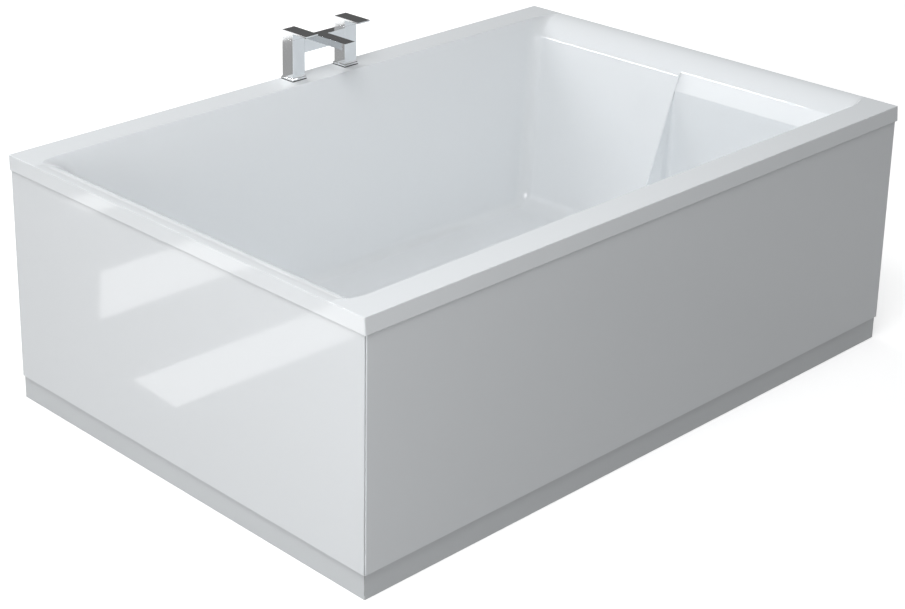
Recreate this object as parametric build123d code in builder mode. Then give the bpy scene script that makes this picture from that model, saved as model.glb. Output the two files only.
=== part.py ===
from build123d import *
import math
import os

# Double-ended bath with its panels, plinths, under-frame, waste, overflow and deck-mounted bath filler.
# Millimetres. X runs along the bath, Y across it (taps on the +Y side), Z up from the floor.

# Outside sizes
length = 1800
width = 1200
height = 625

# Moulded shell
shell_wall = 8
rim_side = 80
fascia_height = 38
rim_corner = 3
rim_edge = 1.5
floor_height = 150
wall_lean = 16.2
roll_radius = 120
roll_slope = 44
roll_drop = 0.5
crease_radius = 10
rest_set_back = 96
back_rest_lean = 21.8
facet_set_back = 86
foot_facet_slope = 64
facet_drop = 84
foot_end_lean = 2.9
floor_corner = 60
side_corner = 34
waste_hole = 49
overflow_hole = 46
overflow_drop = 65
tap_hole = 29
over_cut_share = 0.05

# Panels and plinths
reveal = 3
panel_thickness = 18
panel_gap = 2
panel_edge = 2
mitre_gap = 0.6
plinth_height = 60
plinth_recess = 5
plinth_thickness = panel_thickness - plinth_recess

# Timber behind the panels
batten_thickness = 22
batten_bottom = 555
post_size = 40

# Fixing angles and their screws
bracket_leg = 25
bracket_height = 30
bracket_plate = 2
bracket_levels = (150, 450)
screw_shank = 3.5
screw_head = 7
screw_head_height = 2
screw_head_taper = 14
screw_length = 14
screw_fit = 0.05

# Wall hangers
hanger_plate = 2.5
hanger_width = 40
hanger_drop = 67
hanger_hook = 20
hanger_hole = 8
hanger_pitch = 600

# Base board and leg channels
board_length = 1150
board_width = 560
board_thickness = 18
board_opening = 92
channel_length = 720
channel_width = 40
channel_height = 25
channel_plate = 2
channel_rows = (-450, -180, 180, 450)
channel_screw_pitch = 240
foot_pitch = 660
rod_diameter = 12
rod_fit = 0.05
rod_hole_play = 0.5
nut_flats = 18
nut_height = 9
pad_diameter = 50
pad_height = 16
pad_neck = 24
pad_floor = 5
rod_above = 3

# Waste, plug and trap
flange_diameter = 70
flange_height = 2.5
spigot_diameter = 48
spigot_bore = 42
spigot_length = 38
thread_fit = 0.05
cross_width = 3
cross_height = 5
cross_level = 124
stem_diameter = 8
stem_fit = 0.1
guide_diameter = 14
seal_thickness = 3
seal_diameter = 74
cup_flange = 76
cup_flange_height = 4
cup_diameter = 60
cup_bore = 54
cup_bottom = 88
outlet_diameter = 42
outlet_bore = 36
outlet_bottom = 72
port_wall = 2.5
port_level = 104
port_length = 64
plug_diameter = 62
plug_height = 3
plug_edge = 1
plug_seal_diameter = 52
plug_seal_height = 1
plug_travel = 12
stem_foot = 104
run_gap = 0.1
rocker_pivot_y = -16
rocker_pin = 3
rocker_boss = 7
rocker_width = 6
rocker_arm_height = 3
rocker_tip = 7
rocker_tail = 5
trap_washer = 3

trap_flange_height = 3
trap_diameter = 40
trap_bore = 34
trap_turn_level = 52
trap_turn_radius = 30
trap_rise_radius = 25
trap_outlet_y = 140
nut_wall = 6
trap_nut_height = 20
nut_lip = 4
pipe_diameter = 40
pipe_bore = 36
pipe_end_gap = 35
coupler_length = 44
coupler_wall = 6

# Overflow
overflow_ring = 64
overflow_ring_height = 4
overflow_slot = 6
overflow_cap = 70
overflow_cap_height = 8
overflow_cap_gap = 6
overflow_cap_edge = 1.5
overflow_grip = 8
overflow_grip_height = 5
overflow_stem = 10
overflow_seal = 3
overflow_body = 62
overflow_body_depth = 26
overflow_body_wall = 3
overflow_screw_boss = 18
hose_diameter = 24
hose_bore = 19
hose_overlap = 14
hose_stand_off = 26
hose_bend = 60
cable_diameter = 5
cable_bend = 55
cable_side = 30

# Bath filler
tap_pitch = 180
tap_centre_x = 43
tap_set_back = 29
pillar_size = 41
pillar_edge = 0.8
gasket_size = 47
gasket_height = 2
plate_size = 46
plate_height = 5
pillar_top = 110
bar_top = 106
bar_height = 36
bar_depth = 27
spout_width = 35
spout_height = 18
spout_reach = 102
spout_offset = 8
water_way = 12
spout_way_width = 24
spout_way_height = 8
outlet_hole = 24
outlet_set_back = 17
aerator_height = 7
aerator_fit = 0.05
aerator_ring = 2
aerator_bar = 1
hub_gap = 0.3
hub_height = 17
blade_thickness = 4
blade_length = 92
blade_edge = 0.6
tail_diameter = 26
tail_bore = 18
tail_below = 62
groove_width = 3
groove_depth = 1
groove_gap = 1
tail_in_pillar = 16
cartridge_diameter = 27
cartridge_fit = 0.1
cartridge_length = 42
cartridge_room = 20
cartridge_floor = 2
cartridge_roof = 14
disc_height = 3
disc_diameter = 19.6
disc_opening = 5
disc_opening_at = 5
spindle_diameter = 8
spindle_foot = 16
spindle_foot_height = 3
spindle_in_hub = 12
grub_diameter = 5
grub_length = 8
grub_level = 8
tail_washer = 37
tail_washer_height = 3
tail_nut_flats = 34
tail_nut_height = 9

os.makedirs("parts", exist_ok=True)

half_length = length / 2
half_width = width / 2
rim_half = half_width - rim_side
lean = math.tan(math.radians(wall_lean))
over_cut = height * over_cut_share
rest_lean = math.tan(math.radians(back_rest_lean))
foot_lean = math.tan(math.radians(foot_end_lean))
shell_under = floor_height - shell_wall
rim_under = height - shell_wall
back_rest_x = half_length - rest_set_back
foot_facet_x = half_length - facet_set_back
foot_facet_bottom = height - facet_drop
overflow_height = height - overflow_drop
tap_y = half_width - tap_set_back
pipe_end_y = half_width - pipe_end_gap

def end_points(style):
    """Corner points, from the rim down, of one end of the bathing space and the radius at each."""
    roll_z = height - roll_drop
    roll_x = half_length - roll_radius * math.tan(math.radians(roll_slope / 2))
    fall = math.tan(math.radians(roll_slope))
    if style == "rest":
        rest_z = roll_z - (roll_x - back_rest_x) * fall
        floor_x = back_rest_x - (rest_z - floor_height) * rest_lean
        corners = [(back_rest_x, rest_z), (floor_x, floor_height)]
        rounds = [crease_radius, floor_corner]
    else:
        crease_z = roll_z - (roll_x - foot_facet_x) * fall
        facet_run = (crease_z - foot_facet_bottom) / math.tan(math.radians(foot_facet_slope))
        facet_x = foot_facet_x - facet_run
        floor_x = facet_x - (foot_facet_bottom - floor_height) * foot_lean
        corners = [(foot_facet_x, crease_z), (facet_x, foot_facet_bottom), (floor_x, floor_height)]
        rounds = [crease_radius, crease_radius, floor_corner]
    start = (half_length + over_cut, roll_z)
    return [start, (roll_x, roll_z)] + corners, [0, roll_radius] + rounds

def bathing_space(grow):
    """The room inside the tub, grown by a thickness to give the outside of the moulding."""
    right, right_rounds = end_points("rest")
    left, left_rounds = end_points("foot")
    top = height + over_cut
    outline = [(half_length + over_cut, top)] + right
    outline += [(-x, z) for x, z in reversed(left)] + [(-half_length - over_cut, top)]
    rounds = [0] + right_rounds + list(reversed(left_rounds)) + [0]
    top_half = rim_half + over_cut * lean
    low_half = rim_half - height * lean
    with BuildPart() as half:
        with BuildSketch(Plane.XZ.offset(grow)):
            with BuildLine():
                Polyline(*outline, close=True)
            make_face()
            for (x, z), radius in zip(outline, rounds):
                if radius > 0:
                    near = vertices().sort_by_distance(Vector(x, z, 0))[0]
                    fillet(near, radius=radius)
            if grow > 0:
                offset(amount=grow, kind=Kind.INTERSECTION)
        extrude(amount=-(half_width + grow + over_cut))
        with BuildSketch(Plane.YZ):
            with BuildLine():
                Polyline((-top_half, top + grow), (top_half, top + grow), (low_half, 0), (-low_half, 0), close=True)
            make_face()
            if grow > 0:
                offset(amount=grow, kind=Kind.INTERSECTION)
        extrude(amount=length, both=True, mode=Mode.INTERSECT)
        side = faces().sort_by(Axis.Y)[-1]
        chain = side.edges().filter_by(lambda e: e.center().Z < height - roll_drop / 2)
        fillet(chain, radius=side_corner + grow)
    return half.part

space_half = bathing_space(0)
outside_half = bathing_space(shell_wall)

# The outside of the tub up to the middle of the rim's thickness.
with BuildPart() as basin_blank:
    add(outside_half)
    add(outside_half.rotate(Axis.Z, 180))
    with BuildSketch(Plane.XY.offset(shell_under - over_cut)):
        Rectangle(length - shell_wall, width - shell_wall)
    extrude(amount=rim_under + shell_wall / 2 - shell_under + over_cut, mode=Mode.INTERSECT)

# Overflow: its plane lies on the inner face of the front long wall and looks into the tub.
overflow_y = -(rim_half - (height - overflow_height) * lean)
lean_cos = math.cos(math.radians(wall_lean))
lean_sin = math.sin(math.radians(wall_lean))
overflow_plane = Plane(origin=(0, overflow_y, overflow_height), x_dir=(1, 0, 0), z_dir=(0, lean_cos, lean_sin))
overflow_back = overflow_plane.offset(-shell_wall)

hot_x = tap_centre_x - tap_pitch / 2
cold_x = tap_centre_x + tap_pitch / 2
tap_spots = [(hot_x, tap_y), (cold_x, tap_y)]

with BuildPart() as bath_shell:
    with BuildSketch(Plane.XY.offset(height - fascia_height)):
        Rectangle(length, width)
    extrude(amount=fascia_height)
    fillet(edges().filter_by(Axis.Z), radius=rim_corner)
    fillet(faces().sort_by(Axis.Z)[-1].edges(), radius=rim_edge)
    with BuildSketch(Plane.XY.offset(height - fascia_height)):
        Rectangle(length - 2 * shell_wall, width - 2 * shell_wall)
    extrude(amount=fascia_height - shell_wall, mode=Mode.SUBTRACT)
    add(basin_blank.part)
    add(space_half, mode=Mode.SUBTRACT)
    add(space_half.rotate(Axis.Z, 180), mode=Mode.SUBTRACT)
    with BuildSketch(Plane.XY.offset(height)):
        with Locations(*tap_spots):
            Circle(tap_hole / 2)
    extrude(amount=-shell_wall, mode=Mode.SUBTRACT)
    with BuildSketch(Plane.XY.offset(floor_height)):
        Circle(waste_hole / 2)
    extrude(amount=-shell_wall, mode=Mode.SUBTRACT)
    with BuildSketch(overflow_plane):
        Circle(overflow_hole / 2)
    extrude(amount=-shell_wall, both=True, mode=Mode.SUBTRACT)
bath_shell.part.label = "bath_shell"
export_step(bath_shell.part, "parts/bath_shell.step")

# Base board bonded under the floor of the tub
board_under = shell_under - board_thickness
channel_screw_spots = []
for row in channel_rows:
    for side in (-1, 1):
        channel_screw_spots.append((row, side * channel_screw_pitch))
        channel_screw_spots.append((row, side * channel_screw_pitch / 3))
with BuildPart() as base_board:
    with BuildSketch(Plane.XY.offset(board_under)):
        Rectangle(board_length, board_width)
        Circle(board_opening / 2, mode=Mode.SUBTRACT)
    extrude(amount=board_thickness)
    with BuildSketch(Plane.XY.offset(board_under)):
        with Locations(*channel_screw_spots):
            Circle(screw_shank / 2 + screw_fit)
    extrude(amount=screw_length, mode=Mode.SUBTRACT)
base_board.part.label = "base_board"
export_step(base_board.part, "parts/base_board.step")

# Folded steel leg channels, screwed up into the board
foot_spots = [(row, side * foot_pitch / 2) for row in channel_rows for side in (-1, 1)]
with BuildPart() as leg_channels:
    with BuildSketch(Plane.XY.offset(board_under - channel_height)):
        for row in channel_rows:
            with Locations((row, 0)):
                Rectangle(channel_width, channel_length)
    extrude(amount=channel_height)
    with BuildSketch(Plane.XY.offset(board_under - channel_height)):
        for row in channel_rows:
            with Locations((row, 0)):
                Rectangle(channel_width - 2 * channel_plate, channel_length)
    extrude(amount=channel_height - channel_plate, mode=Mode.SUBTRACT)
    with BuildSketch(Plane.XY.offset(board_under)):
        with Locations(*foot_spots):
            Circle(rod_diameter / 2 + rod_hole_play)
        with Locations(*channel_screw_spots):
            Circle(screw_shank / 2 + screw_fit)
    extrude(amount=-channel_plate, mode=Mode.SUBTRACT)
leg_channels.part.label = "leg_channels"
export_step(leg_channels.part, "parts/leg_channels.step")

with BuildPart() as channel_screws:
    with BuildSketch(Plane.XY.offset(board_under - channel_plate - screw_head_height)):
        with Locations(*channel_screw_spots):
            Circle(screw_head / 2)
    extrude(amount=screw_head_height)
    chamfer(faces().filter_by(Axis.Z).group_by(Axis.Z)[0].edges(), length=screw_head_height / 3)
    with BuildSketch(Plane.XY.offset(board_under - channel_plate)):
        with Locations(*channel_screw_spots):
            Circle(screw_shank / 2)
    extrude(amount=screw_length)
channel_screws.part.label = "channel_screws"
export_step(channel_screws.part, "parts/channel_screws.step")

# Adjustable feet: rod, one nut above and one below the channel web, moulded pad
nut_round = nut_flats / math.cos(math.radians(30)) / 2
with BuildPart() as foot_nuts:
    with BuildSketch(Plane.XY.offset(board_under)):
        with Locations(*foot_spots):
            RegularPolygon(nut_round, 6)
            Circle(rod_diameter / 2 + rod_fit, mode=Mode.SUBTRACT)
    extrude(amount=nut_height)
    with BuildSketch(Plane.XY.offset(board_under - channel_plate)):
        with Locations(*foot_spots):
            RegularPolygon(nut_round, 6)
            Circle(rod_diameter / 2 + rod_fit, mode=Mode.SUBTRACT)
    extrude(amount=-nut_height)
foot_nuts.part.label = "foot_nuts"
export_step(foot_nuts.part, "parts/foot_nuts.step")

with BuildPart() as foot_rods:
    with BuildSketch(Plane.XY.offset(pad_floor)):
        with Locations(*foot_spots):
            Circle(rod_diameter / 2)
    extrude(amount=board_under + nut_height + rod_above - pad_floor)
    chamfer(edges().group_by(Axis.Z)[-1], length=rod_above / 3)
foot_rods.part.label = "foot_rods"
export_step(foot_rods.part, "parts/foot_rods.step")

with BuildPart() as foot_pads:
    with BuildSketch():
        with Locations(*foot_spots):
            Circle(pad_diameter / 2)
    extrude(amount=pad_height / 2)
    with BuildSketch(Plane.XY.offset(pad_height / 2)):
        with Locations(*foot_spots):
            Circle(pad_neck / 2)
    extrude(amount=pad_height / 2)
    with BuildSketch(Plane.XY.offset(pad_floor)):
        with Locations(*foot_spots):
            Circle(rod_diameter / 2 + rod_fit)
    extrude(amount=pad_height - pad_floor, mode=Mode.SUBTRACT)
    chamfer(edges().group_by(Axis.Z)[0], length=pad_floor / 4)
foot_pads.part.label = "foot_pads"
export_step(foot_pads.part, "parts/foot_pads.step")

# Timber battens under the rim, and posts that carry them
panel_face_x = half_length - reveal
panel_face_y = half_width - reveal
panel_in_x = panel_face_x - panel_thickness
panel_in_y = panel_face_y - panel_thickness
batten_in_x = panel_in_x - batten_thickness
batten_in_y = panel_in_y - batten_thickness
under_roll = math.sqrt((roll_radius - shell_wall) ** 2 - (half_length - batten_in_x) ** 2)
end_batten_top = height - roll_drop - roll_radius + under_roll
with BuildPart() as front_batten:
    with BuildSketch(Plane.XY.offset(batten_bottom)):
        with Locations((0, -(panel_in_y + batten_in_y) / 2)):
            Rectangle(2 * batten_in_x, batten_thickness)
    extrude(amount=rim_under - batten_bottom)
front_batten.part.label = "front_batten"
export_step(front_batten.part, "parts/front_batten.step")

with BuildPart() as end_battens:
    with BuildSketch(Plane.XY.offset(batten_bottom)):
        for side in (-1, 1):
            with Locations((side * (panel_in_x + batten_in_x) / 2, 0)):
                Rectangle(batten_thickness, 2 * panel_in_y)
    extrude(amount=end_batten_top - batten_bottom)
end_battens.part.label = "end_battens"
export_step(end_battens.part, "parts/end_battens.step")

post_x = panel_in_x - post_size / 2
post_y = panel_in_y - post_size / 2
post_spots = [(side_x * post_x, side_y * post_y) for side_x in (-1, 1) for side_y in (-1, 1)]

# Steel angles: each sits in the corner between a post and the back of a panel.
bracket_corners = []
for side_x in (-1, 1):
    bracket_corners.append((side_x * (panel_in_x - post_size), -panel_in_y, -side_x, 1))
    for side_y in (-1, 1):
        bracket_corners.append((side_x * panel_in_x, side_y * (panel_in_y - post_size), -side_x, -side_y))
screw_out = (bracket_leg + bracket_plate) / 2
screw_planes = []
for corner_x, corner_y, turn_x, turn_y in bracket_corners:
    for level in bracket_levels:
        on_first = (corner_x + turn_x * screw_out, corner_y + turn_y * bracket_plate, level)
        on_second = (corner_x + turn_x * bracket_plate, corner_y + turn_y * screw_out, level)
        screw_planes.append(Plane(origin=on_first, z_dir=(0, turn_y, 0)))
        screw_planes.append(Plane(origin=on_second, z_dir=(turn_x, 0, 0)))

with BuildPart() as angle_drills:
    for screw_plane in screw_planes:
        with BuildSketch(screw_plane):
            Circle(screw_shank / 2 + screw_fit)
        extrude(amount=-screw_length)

with BuildPart() as angle_screws:
    for screw_plane in screw_planes:
        with BuildSketch(screw_plane):
            Circle(screw_head / 2)
        extrude(amount=screw_head_height, taper=screw_head_taper)
        with BuildSketch(screw_plane):
            Circle(screw_shank / 2)
        extrude(amount=-screw_length)
angle_screws.part.label = "angle_screws"
export_step(angle_screws.part, "parts/angle_screws.step")

with BuildPart() as fixing_angles:
    for corner_x, corner_y, turn_x, turn_y in bracket_corners:
        for level in bracket_levels:
            with BuildSketch(Plane.XY.offset(level - bracket_height / 2)):
                with Locations((corner_x + turn_x * bracket_leg / 2, corner_y + turn_y * bracket_plate / 2)):
                    Rectangle(bracket_leg, bracket_plate)
                with Locations((corner_x + turn_x * bracket_plate / 2, corner_y + turn_y * bracket_leg / 2)):
                    Rectangle(bracket_plate, bracket_leg)
            extrude(amount=bracket_height)
    add(angle_drills.part, mode=Mode.SUBTRACT)
fixing_angles.part.label = "fixing_angles"
export_step(fixing_angles.part, "parts/fixing_angles.step")

with BuildPart() as corner_posts:
    with BuildSketch():
        with Locations(*post_spots):
            Rectangle(post_size, post_size)
    extrude(amount=batten_bottom)
    add(angle_drills.part, mode=Mode.SUBTRACT)
corner_posts.part.label = "corner_posts"
export_step(corner_posts.part, "parts/corner_posts.step")

# Panels, mitred at the two front corners
panel_top = height - fascia_height - panel_gap
front_face_x = panel_face_x - mitre_gap
front_in_x = panel_in_x - mitre_gap
with BuildPart() as front_panel:
    with BuildSketch(Plane.XY.offset(plinth_height)):
        with BuildLine():
            Polyline(
                (-front_face_x, -panel_face_y),
                (front_face_x, -panel_face_y),
                (front_in_x, -panel_in_y),
                (-front_in_x, -panel_in_y),
                close=True,
            )
        make_face()
        fillet(vertices().group_by(Axis.Y)[0], radius=panel_edge)
    extrude(amount=panel_top - plinth_height)
    add(angle_drills.part, mode=Mode.SUBTRACT)
front_panel.part.label = "front_panel"
export_step(front_panel.part, "parts/front_panel.step")

with BuildPart() as left_panel:
    with BuildSketch(Plane.XY.offset(plinth_height)):
        with BuildLine():
            Polyline(
                (-panel_face_x, -panel_face_y),
                (-panel_in_x, -panel_in_y),
                (-panel_in_x, panel_face_y),
                (-panel_face_x, panel_face_y),
                close=True,
            )
        make_face()
        fillet(vertices().group_by(Axis.X)[0], radius=panel_edge)
    extrude(amount=panel_top - plinth_height)
    add(angle_drills.part, mode=Mode.SUBTRACT)
left_panel.part.label = "left_panel"
export_step(left_panel.part, "parts/left_panel.step")

with BuildPart() as right_panel:
    with BuildSketch(Plane.XY.offset(plinth_height)):
        with BuildLine():
            Polyline(
                (panel_face_x, -panel_face_y),
                (panel_in_x, -panel_in_y),
                (panel_in_x, panel_face_y),
                (panel_face_x, panel_face_y),
                close=True,
            )
        make_face()
        fillet(vertices().group_by(Axis.X)[-1], radius=panel_edge)
    extrude(amount=panel_top - plinth_height)
    add(angle_drills.part, mode=Mode.SUBTRACT)
right_panel.part.label = "right_panel"
export_step(right_panel.part, "parts/right_panel.step")

# Plinths, set back under the panels
plinth_face_x = panel_face_x - plinth_recess
plinth_face_y = panel_face_y - plinth_recess
front_plinth_x = plinth_face_x - mitre_gap
with BuildPart() as front_plinth:
    with BuildSketch():
        with BuildLine():
            Polyline(
                (-front_plinth_x, -plinth_face_y),
                (front_plinth_x, -plinth_face_y),
                (front_plinth_x - plinth_thickness, -panel_in_y),
                (plinth_thickness - front_plinth_x, -panel_in_y),
                close=True,
            )
        make_face()
    extrude(amount=plinth_height)
front_plinth.part.label = "front_plinth"
export_step(front_plinth.part, "parts/front_plinth.step")

with BuildPart() as left_plinth:
    with BuildSketch():
        with BuildLine():
            Polyline(
                (-plinth_face_x, -plinth_face_y),
                (-panel_in_x, -panel_in_y),
                (-panel_in_x, panel_face_y),
                (-plinth_face_x, panel_face_y),
                close=True,
            )
        make_face()
    extrude(amount=plinth_height)
left_plinth.part.label = "left_plinth"
export_step(left_plinth.part, "parts/left_plinth.step")

with BuildPart() as right_plinth:
    with BuildSketch():
        with BuildLine():
            Polyline(
                (plinth_face_x, -plinth_face_y),
                (panel_in_x, -panel_in_y),
                (panel_in_x, panel_face_y),
                (plinth_face_x, panel_face_y),
                close=True,
            )
        make_face()
    extrude(amount=plinth_height)
right_plinth.part.label = "right_plinth"
export_step(right_plinth.part, "parts/right_plinth.step")

# Folded hangers: the lip of the wall side rim drops over them
lip_bottom = height - fascia_height
lip_in_y = half_width - shell_wall
with BuildPart() as wall_hangers:
    with BuildSketch(Plane.YZ):
        with BuildLine():
            Polyline(
                (half_width, lip_bottom - hanger_drop),
                (half_width, lip_bottom),
                (lip_in_y, lip_bottom),
                (lip_in_y, lip_bottom + hanger_hook),
                (lip_in_y - hanger_plate, lip_bottom + hanger_hook),
                (lip_in_y - hanger_plate, lip_bottom - hanger_plate),
                (half_width - hanger_plate, lip_bottom - hanger_plate),
                (half_width - hanger_plate, lip_bottom - hanger_drop),
                close=True,
            )
        make_face()
    extrude(amount=hanger_width / 2, both=True)
    with BuildSketch(Plane.XZ.offset(-half_width)):
        with Locations((0, lip_bottom - hanger_drop / 2)):
            Circle(hanger_hole / 2)
    extrude(amount=hanger_plate, both=True, mode=Mode.SUBTRACT)
    one_hanger = wall_hangers.part
    add(one_hanger.moved(Location((-hanger_pitch, 0, 0))))
    add(one_hanger.moved(Location((hanger_pitch, 0, 0))))
wall_hangers.part.label = "wall_hangers"
export_step(wall_hangers.part, "parts/wall_hangers.step")

# Waste: flange in the floor, seal, moulded cup under the board
flange_top = floor_height + flange_height
spigot_bottom = floor_height - spigot_length
with BuildPart() as waste_flange:
    with BuildSketch(Plane.XY.offset(floor_height)):
        Circle(flange_diameter / 2)
    extrude(amount=flange_height)
    fillet(edges().group_by(Axis.Z)[-1], radius=flange_height / 2)
    with BuildSketch(Plane.XY.offset(spigot_bottom)):
        Circle(spigot_diameter / 2)
    extrude(amount=spigot_length)
    with BuildSketch(Plane.XY.offset(spigot_bottom)):
        Circle(spigot_bore / 2)
    extrude(amount=spigot_length + flange_height, mode=Mode.SUBTRACT)
    with BuildSketch(Plane.XY.offset(cross_level)):
        Rectangle(spigot_bore + thread_fit, cross_width)
        Rectangle(cross_width, spigot_bore + thread_fit)
        Circle(guide_diameter / 2)
        Circle(stem_diameter / 2 + stem_fit, mode=Mode.SUBTRACT)
    extrude(amount=cross_height)
waste_flange.part.label = "waste_flange"
export_step(waste_flange.part, "parts/waste_flange.step")

seal_under = shell_under - seal_thickness
with BuildPart() as waste_seal:
    with BuildSketch(Plane.XY.offset(seal_under)):
        Circle(seal_diameter / 2)
        Circle(spigot_diameter / 2 + thread_fit, mode=Mode.SUBTRACT)
    extrude(amount=seal_thickness)
waste_seal.part.label = "waste_seal"
export_step(waste_seal.part, "parts/waste_seal.step")

tip_fall = plug_travel / 2
rocker_arm = -rocker_pivot_y
rocker_angle = math.degrees(math.asin(tip_fall / rocker_arm))
pivot_x = rocker_arm
pivot_z = stem_foot - run_gap - rocker_tip / 2 + tip_fall
tail_arm = rocker_arm / 2 + rocker_pin / 3
cup_floor = cup_bottom + seal_thickness
lug_gap = rocker_width / 2 + run_gap * 3
gland_level = pivot_z - tail_arm * math.cos(math.radians(rocker_angle))
with BuildPart() as waste_cup:
    with BuildSketch(Plane.XY.offset(seal_under - cup_flange_height)):
        Circle(cup_flange / 2)
    extrude(amount=cup_flange_height)
    with BuildSketch(Plane.XY.offset(cup_bottom)):
        Circle(cup_diameter / 2)
    extrude(amount=seal_under - cup_flange_height - cup_bottom)
    with BuildSketch(Plane.XY.offset(outlet_bottom)):
        Circle(outlet_diameter / 2)
    extrude(amount=cup_bottom - outlet_bottom)
    with BuildSketch(Plane.XZ):
        with Locations((0, port_level)):
            Circle(hose_bore / 2)
    extrude(amount=port_length)
    with BuildSketch(Plane.YZ):
        with Locations((0, gland_level)):
            Circle(cable_diameter)
    extrude(amount=(cup_diameter + spigot_length) / 2)
    with BuildSketch(Plane.XY.offset(spigot_bottom)):
        Circle(spigot_diameter / 2 + thread_fit)
    extrude(amount=seal_under - spigot_bottom, mode=Mode.SUBTRACT)
    with BuildSketch(Plane.XY.offset(cup_floor)):
        Circle(cup_bore / 2)
    extrude(amount=spigot_bottom - cup_floor, mode=Mode.SUBTRACT)
    with BuildSketch(Plane.XY.offset(outlet_bottom)):
        Circle(outlet_bore / 2)
    extrude(amount=cup_floor - outlet_bottom, mode=Mode.SUBTRACT)
    with BuildSketch(Plane.XZ):
        with Locations((0, port_level)):
            Circle(hose_bore / 2 - port_wall)
    extrude(amount=port_length, mode=Mode.SUBTRACT)
    with BuildSketch(Plane.YZ):
        with Locations((0, gland_level)):
            Circle(cable_diameter / 2 + rod_fit)
    extrude(amount=(cup_diameter + spigot_length) / 2, mode=Mode.SUBTRACT)
    with BuildSketch(Plane.XY.offset(cup_floor)):
        with Locations((pivot_x, lug_gap + cross_width / 2), (pivot_x, -lug_gap - cross_width / 2)):
            Rectangle(rocker_boss, cross_width)
    extrude(amount=pivot_z + rocker_pin - cup_floor)
    with BuildSketch(Plane.XZ):
        with Locations((pivot_x, pivot_z)):
            Circle(rocker_pin / 2 + rod_fit)
    extrude(amount=lug_gap + cross_width, both=True, mode=Mode.SUBTRACT)
waste_cup.part.label = "waste_cup"
export_step(waste_cup.part, "parts/waste_cup.step")

with BuildPart() as rocker_pivot:
    with BuildSketch(Plane.XZ):
        with Locations((pivot_x, pivot_z)):
            Circle(rocker_pin / 2)
    extrude(amount=lug_gap + cross_width, both=True)
rocker_pivot.part.label = "rocker_pivot"
export_step(rocker_pivot.part, "parts/rocker_pivot.step")

turn_cos = math.cos(math.radians(rocker_angle))
turn_sin = math.sin(math.radians(rocker_angle))
tip_spot = (pivot_x - rocker_arm * turn_cos, pivot_z - rocker_arm * turn_sin)
tail_spot = (pivot_x + tail_arm * turn_sin, pivot_z - tail_arm * turn_cos)
with BuildPart() as rocker:
    with BuildSketch(Plane.XZ):
        with Locations((pivot_x, pivot_z)):
            Circle(rocker_boss / 2)
        with Locations(tip_spot):
            Circle(rocker_tip / 2)
        with Locations(tail_spot):
            Circle(rocker_tail / 2)
        with Locations(((pivot_x + tip_spot[0]) / 2, (pivot_z + tip_spot[1]) / 2)):
            Rectangle(rocker_arm, rocker_arm_height, rotation=rocker_angle)
        with Locations(((pivot_x + tail_spot[0]) / 2, (pivot_z + tail_spot[1]) / 2)):
            Rectangle(rocker_arm_height, tail_arm, rotation=rocker_angle)
        with Locations((pivot_x, pivot_z)):
            Circle(rocker_pin / 2 + rod_fit, mode=Mode.SUBTRACT)
    extrude(amount=rocker_width / 2, both=True)
rocker.part.label = "rocker"
export_step(rocker.part, "parts/rocker.step")

plug_seal_under = flange_top + run_gap
with BuildPart() as plug:
    with BuildSketch(Plane.XY.offset(plug_seal_under + plug_seal_height)):
        Circle(plug_diameter / 2)
    extrude(amount=plug_height)
    fillet(edges().group_by(Axis.Z)[-1], radius=plug_edge)
    with BuildSketch(Plane.XY.offset(stem_foot)):
        Circle(stem_diameter / 2)
    extrude(amount=plug_seal_under + plug_seal_height - stem_foot)
    chamfer(edges().group_by(Axis.Z)[0], length=plug_edge)
plug.part.label = "plug"
export_step(plug.part, "parts/plug.step")

with BuildPart() as plug_seal:
    with BuildSketch(Plane.XY.offset(plug_seal_under)):
        Circle(plug_seal_diameter / 2)
        Circle(stem_diameter / 2 + rod_fit, mode=Mode.SUBTRACT)
    extrude(amount=plug_seal_height)
plug_seal.part.label = "plug_seal"
export_step(plug_seal.part, "parts/plug_seal.step")

# Shallow trap under the waste, and its outlet pipe to the wall side
trap_flange_under = outlet_bottom - trap_washer - trap_flange_height
with BuildPart() as trap_seal:
    with BuildSketch(Plane.XY.offset(outlet_bottom - trap_washer)):
        Circle(outlet_diameter / 2)
        Circle(trap_bore / 2, mode=Mode.SUBTRACT)
    extrude(amount=trap_washer)
trap_seal.part.label = "trap_seal"
export_step(trap_seal.part, "parts/trap_seal.step")

turn_end_y = 2 * trap_turn_radius
rise_end = (turn_end_y + trap_rise_radius, trap_turn_level + trap_rise_radius)
pipe_level = trap_turn_level + trap_rise_radius
with BuildPart() as trap_body:
    with BuildLine(Plane.YZ) as trap_path:
        Line((0, trap_flange_under), (0, trap_turn_level))
        ThreePointArc(
            (0, trap_turn_level),
            (trap_turn_radius, trap_turn_level - trap_turn_radius),
            (turn_end_y, trap_turn_level),
        )
        RadiusArc((turn_end_y, trap_turn_level), rise_end, trap_rise_radius)
        Line(rise_end, (trap_outlet_y, pipe_level))
    with BuildSketch(Plane(origin=(0, 0, trap_flange_under), z_dir=(0, 0, -1))):
        Circle(trap_diameter / 2)
    sweep(path=trap_path.wires()[0])
    with BuildSketch(Plane.XY.offset(trap_flange_under)):
        Circle(outlet_diameter / 2)
    extrude(amount=trap_flange_height)
    with BuildSketch(Plane(origin=(0, 0, trap_flange_under), z_dir=(0, 0, -1))):
        Circle(trap_bore / 2)
    sweep(path=trap_path.wires()[0], mode=Mode.SUBTRACT)
    with BuildSketch(Plane.XY.offset(trap_flange_under)):
        Circle(trap_bore / 2)
    extrude(amount=trap_flange_height, mode=Mode.SUBTRACT)
trap_body.part.label = "trap_body"
export_step(trap_body.part, "parts/trap_body.step")

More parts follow.
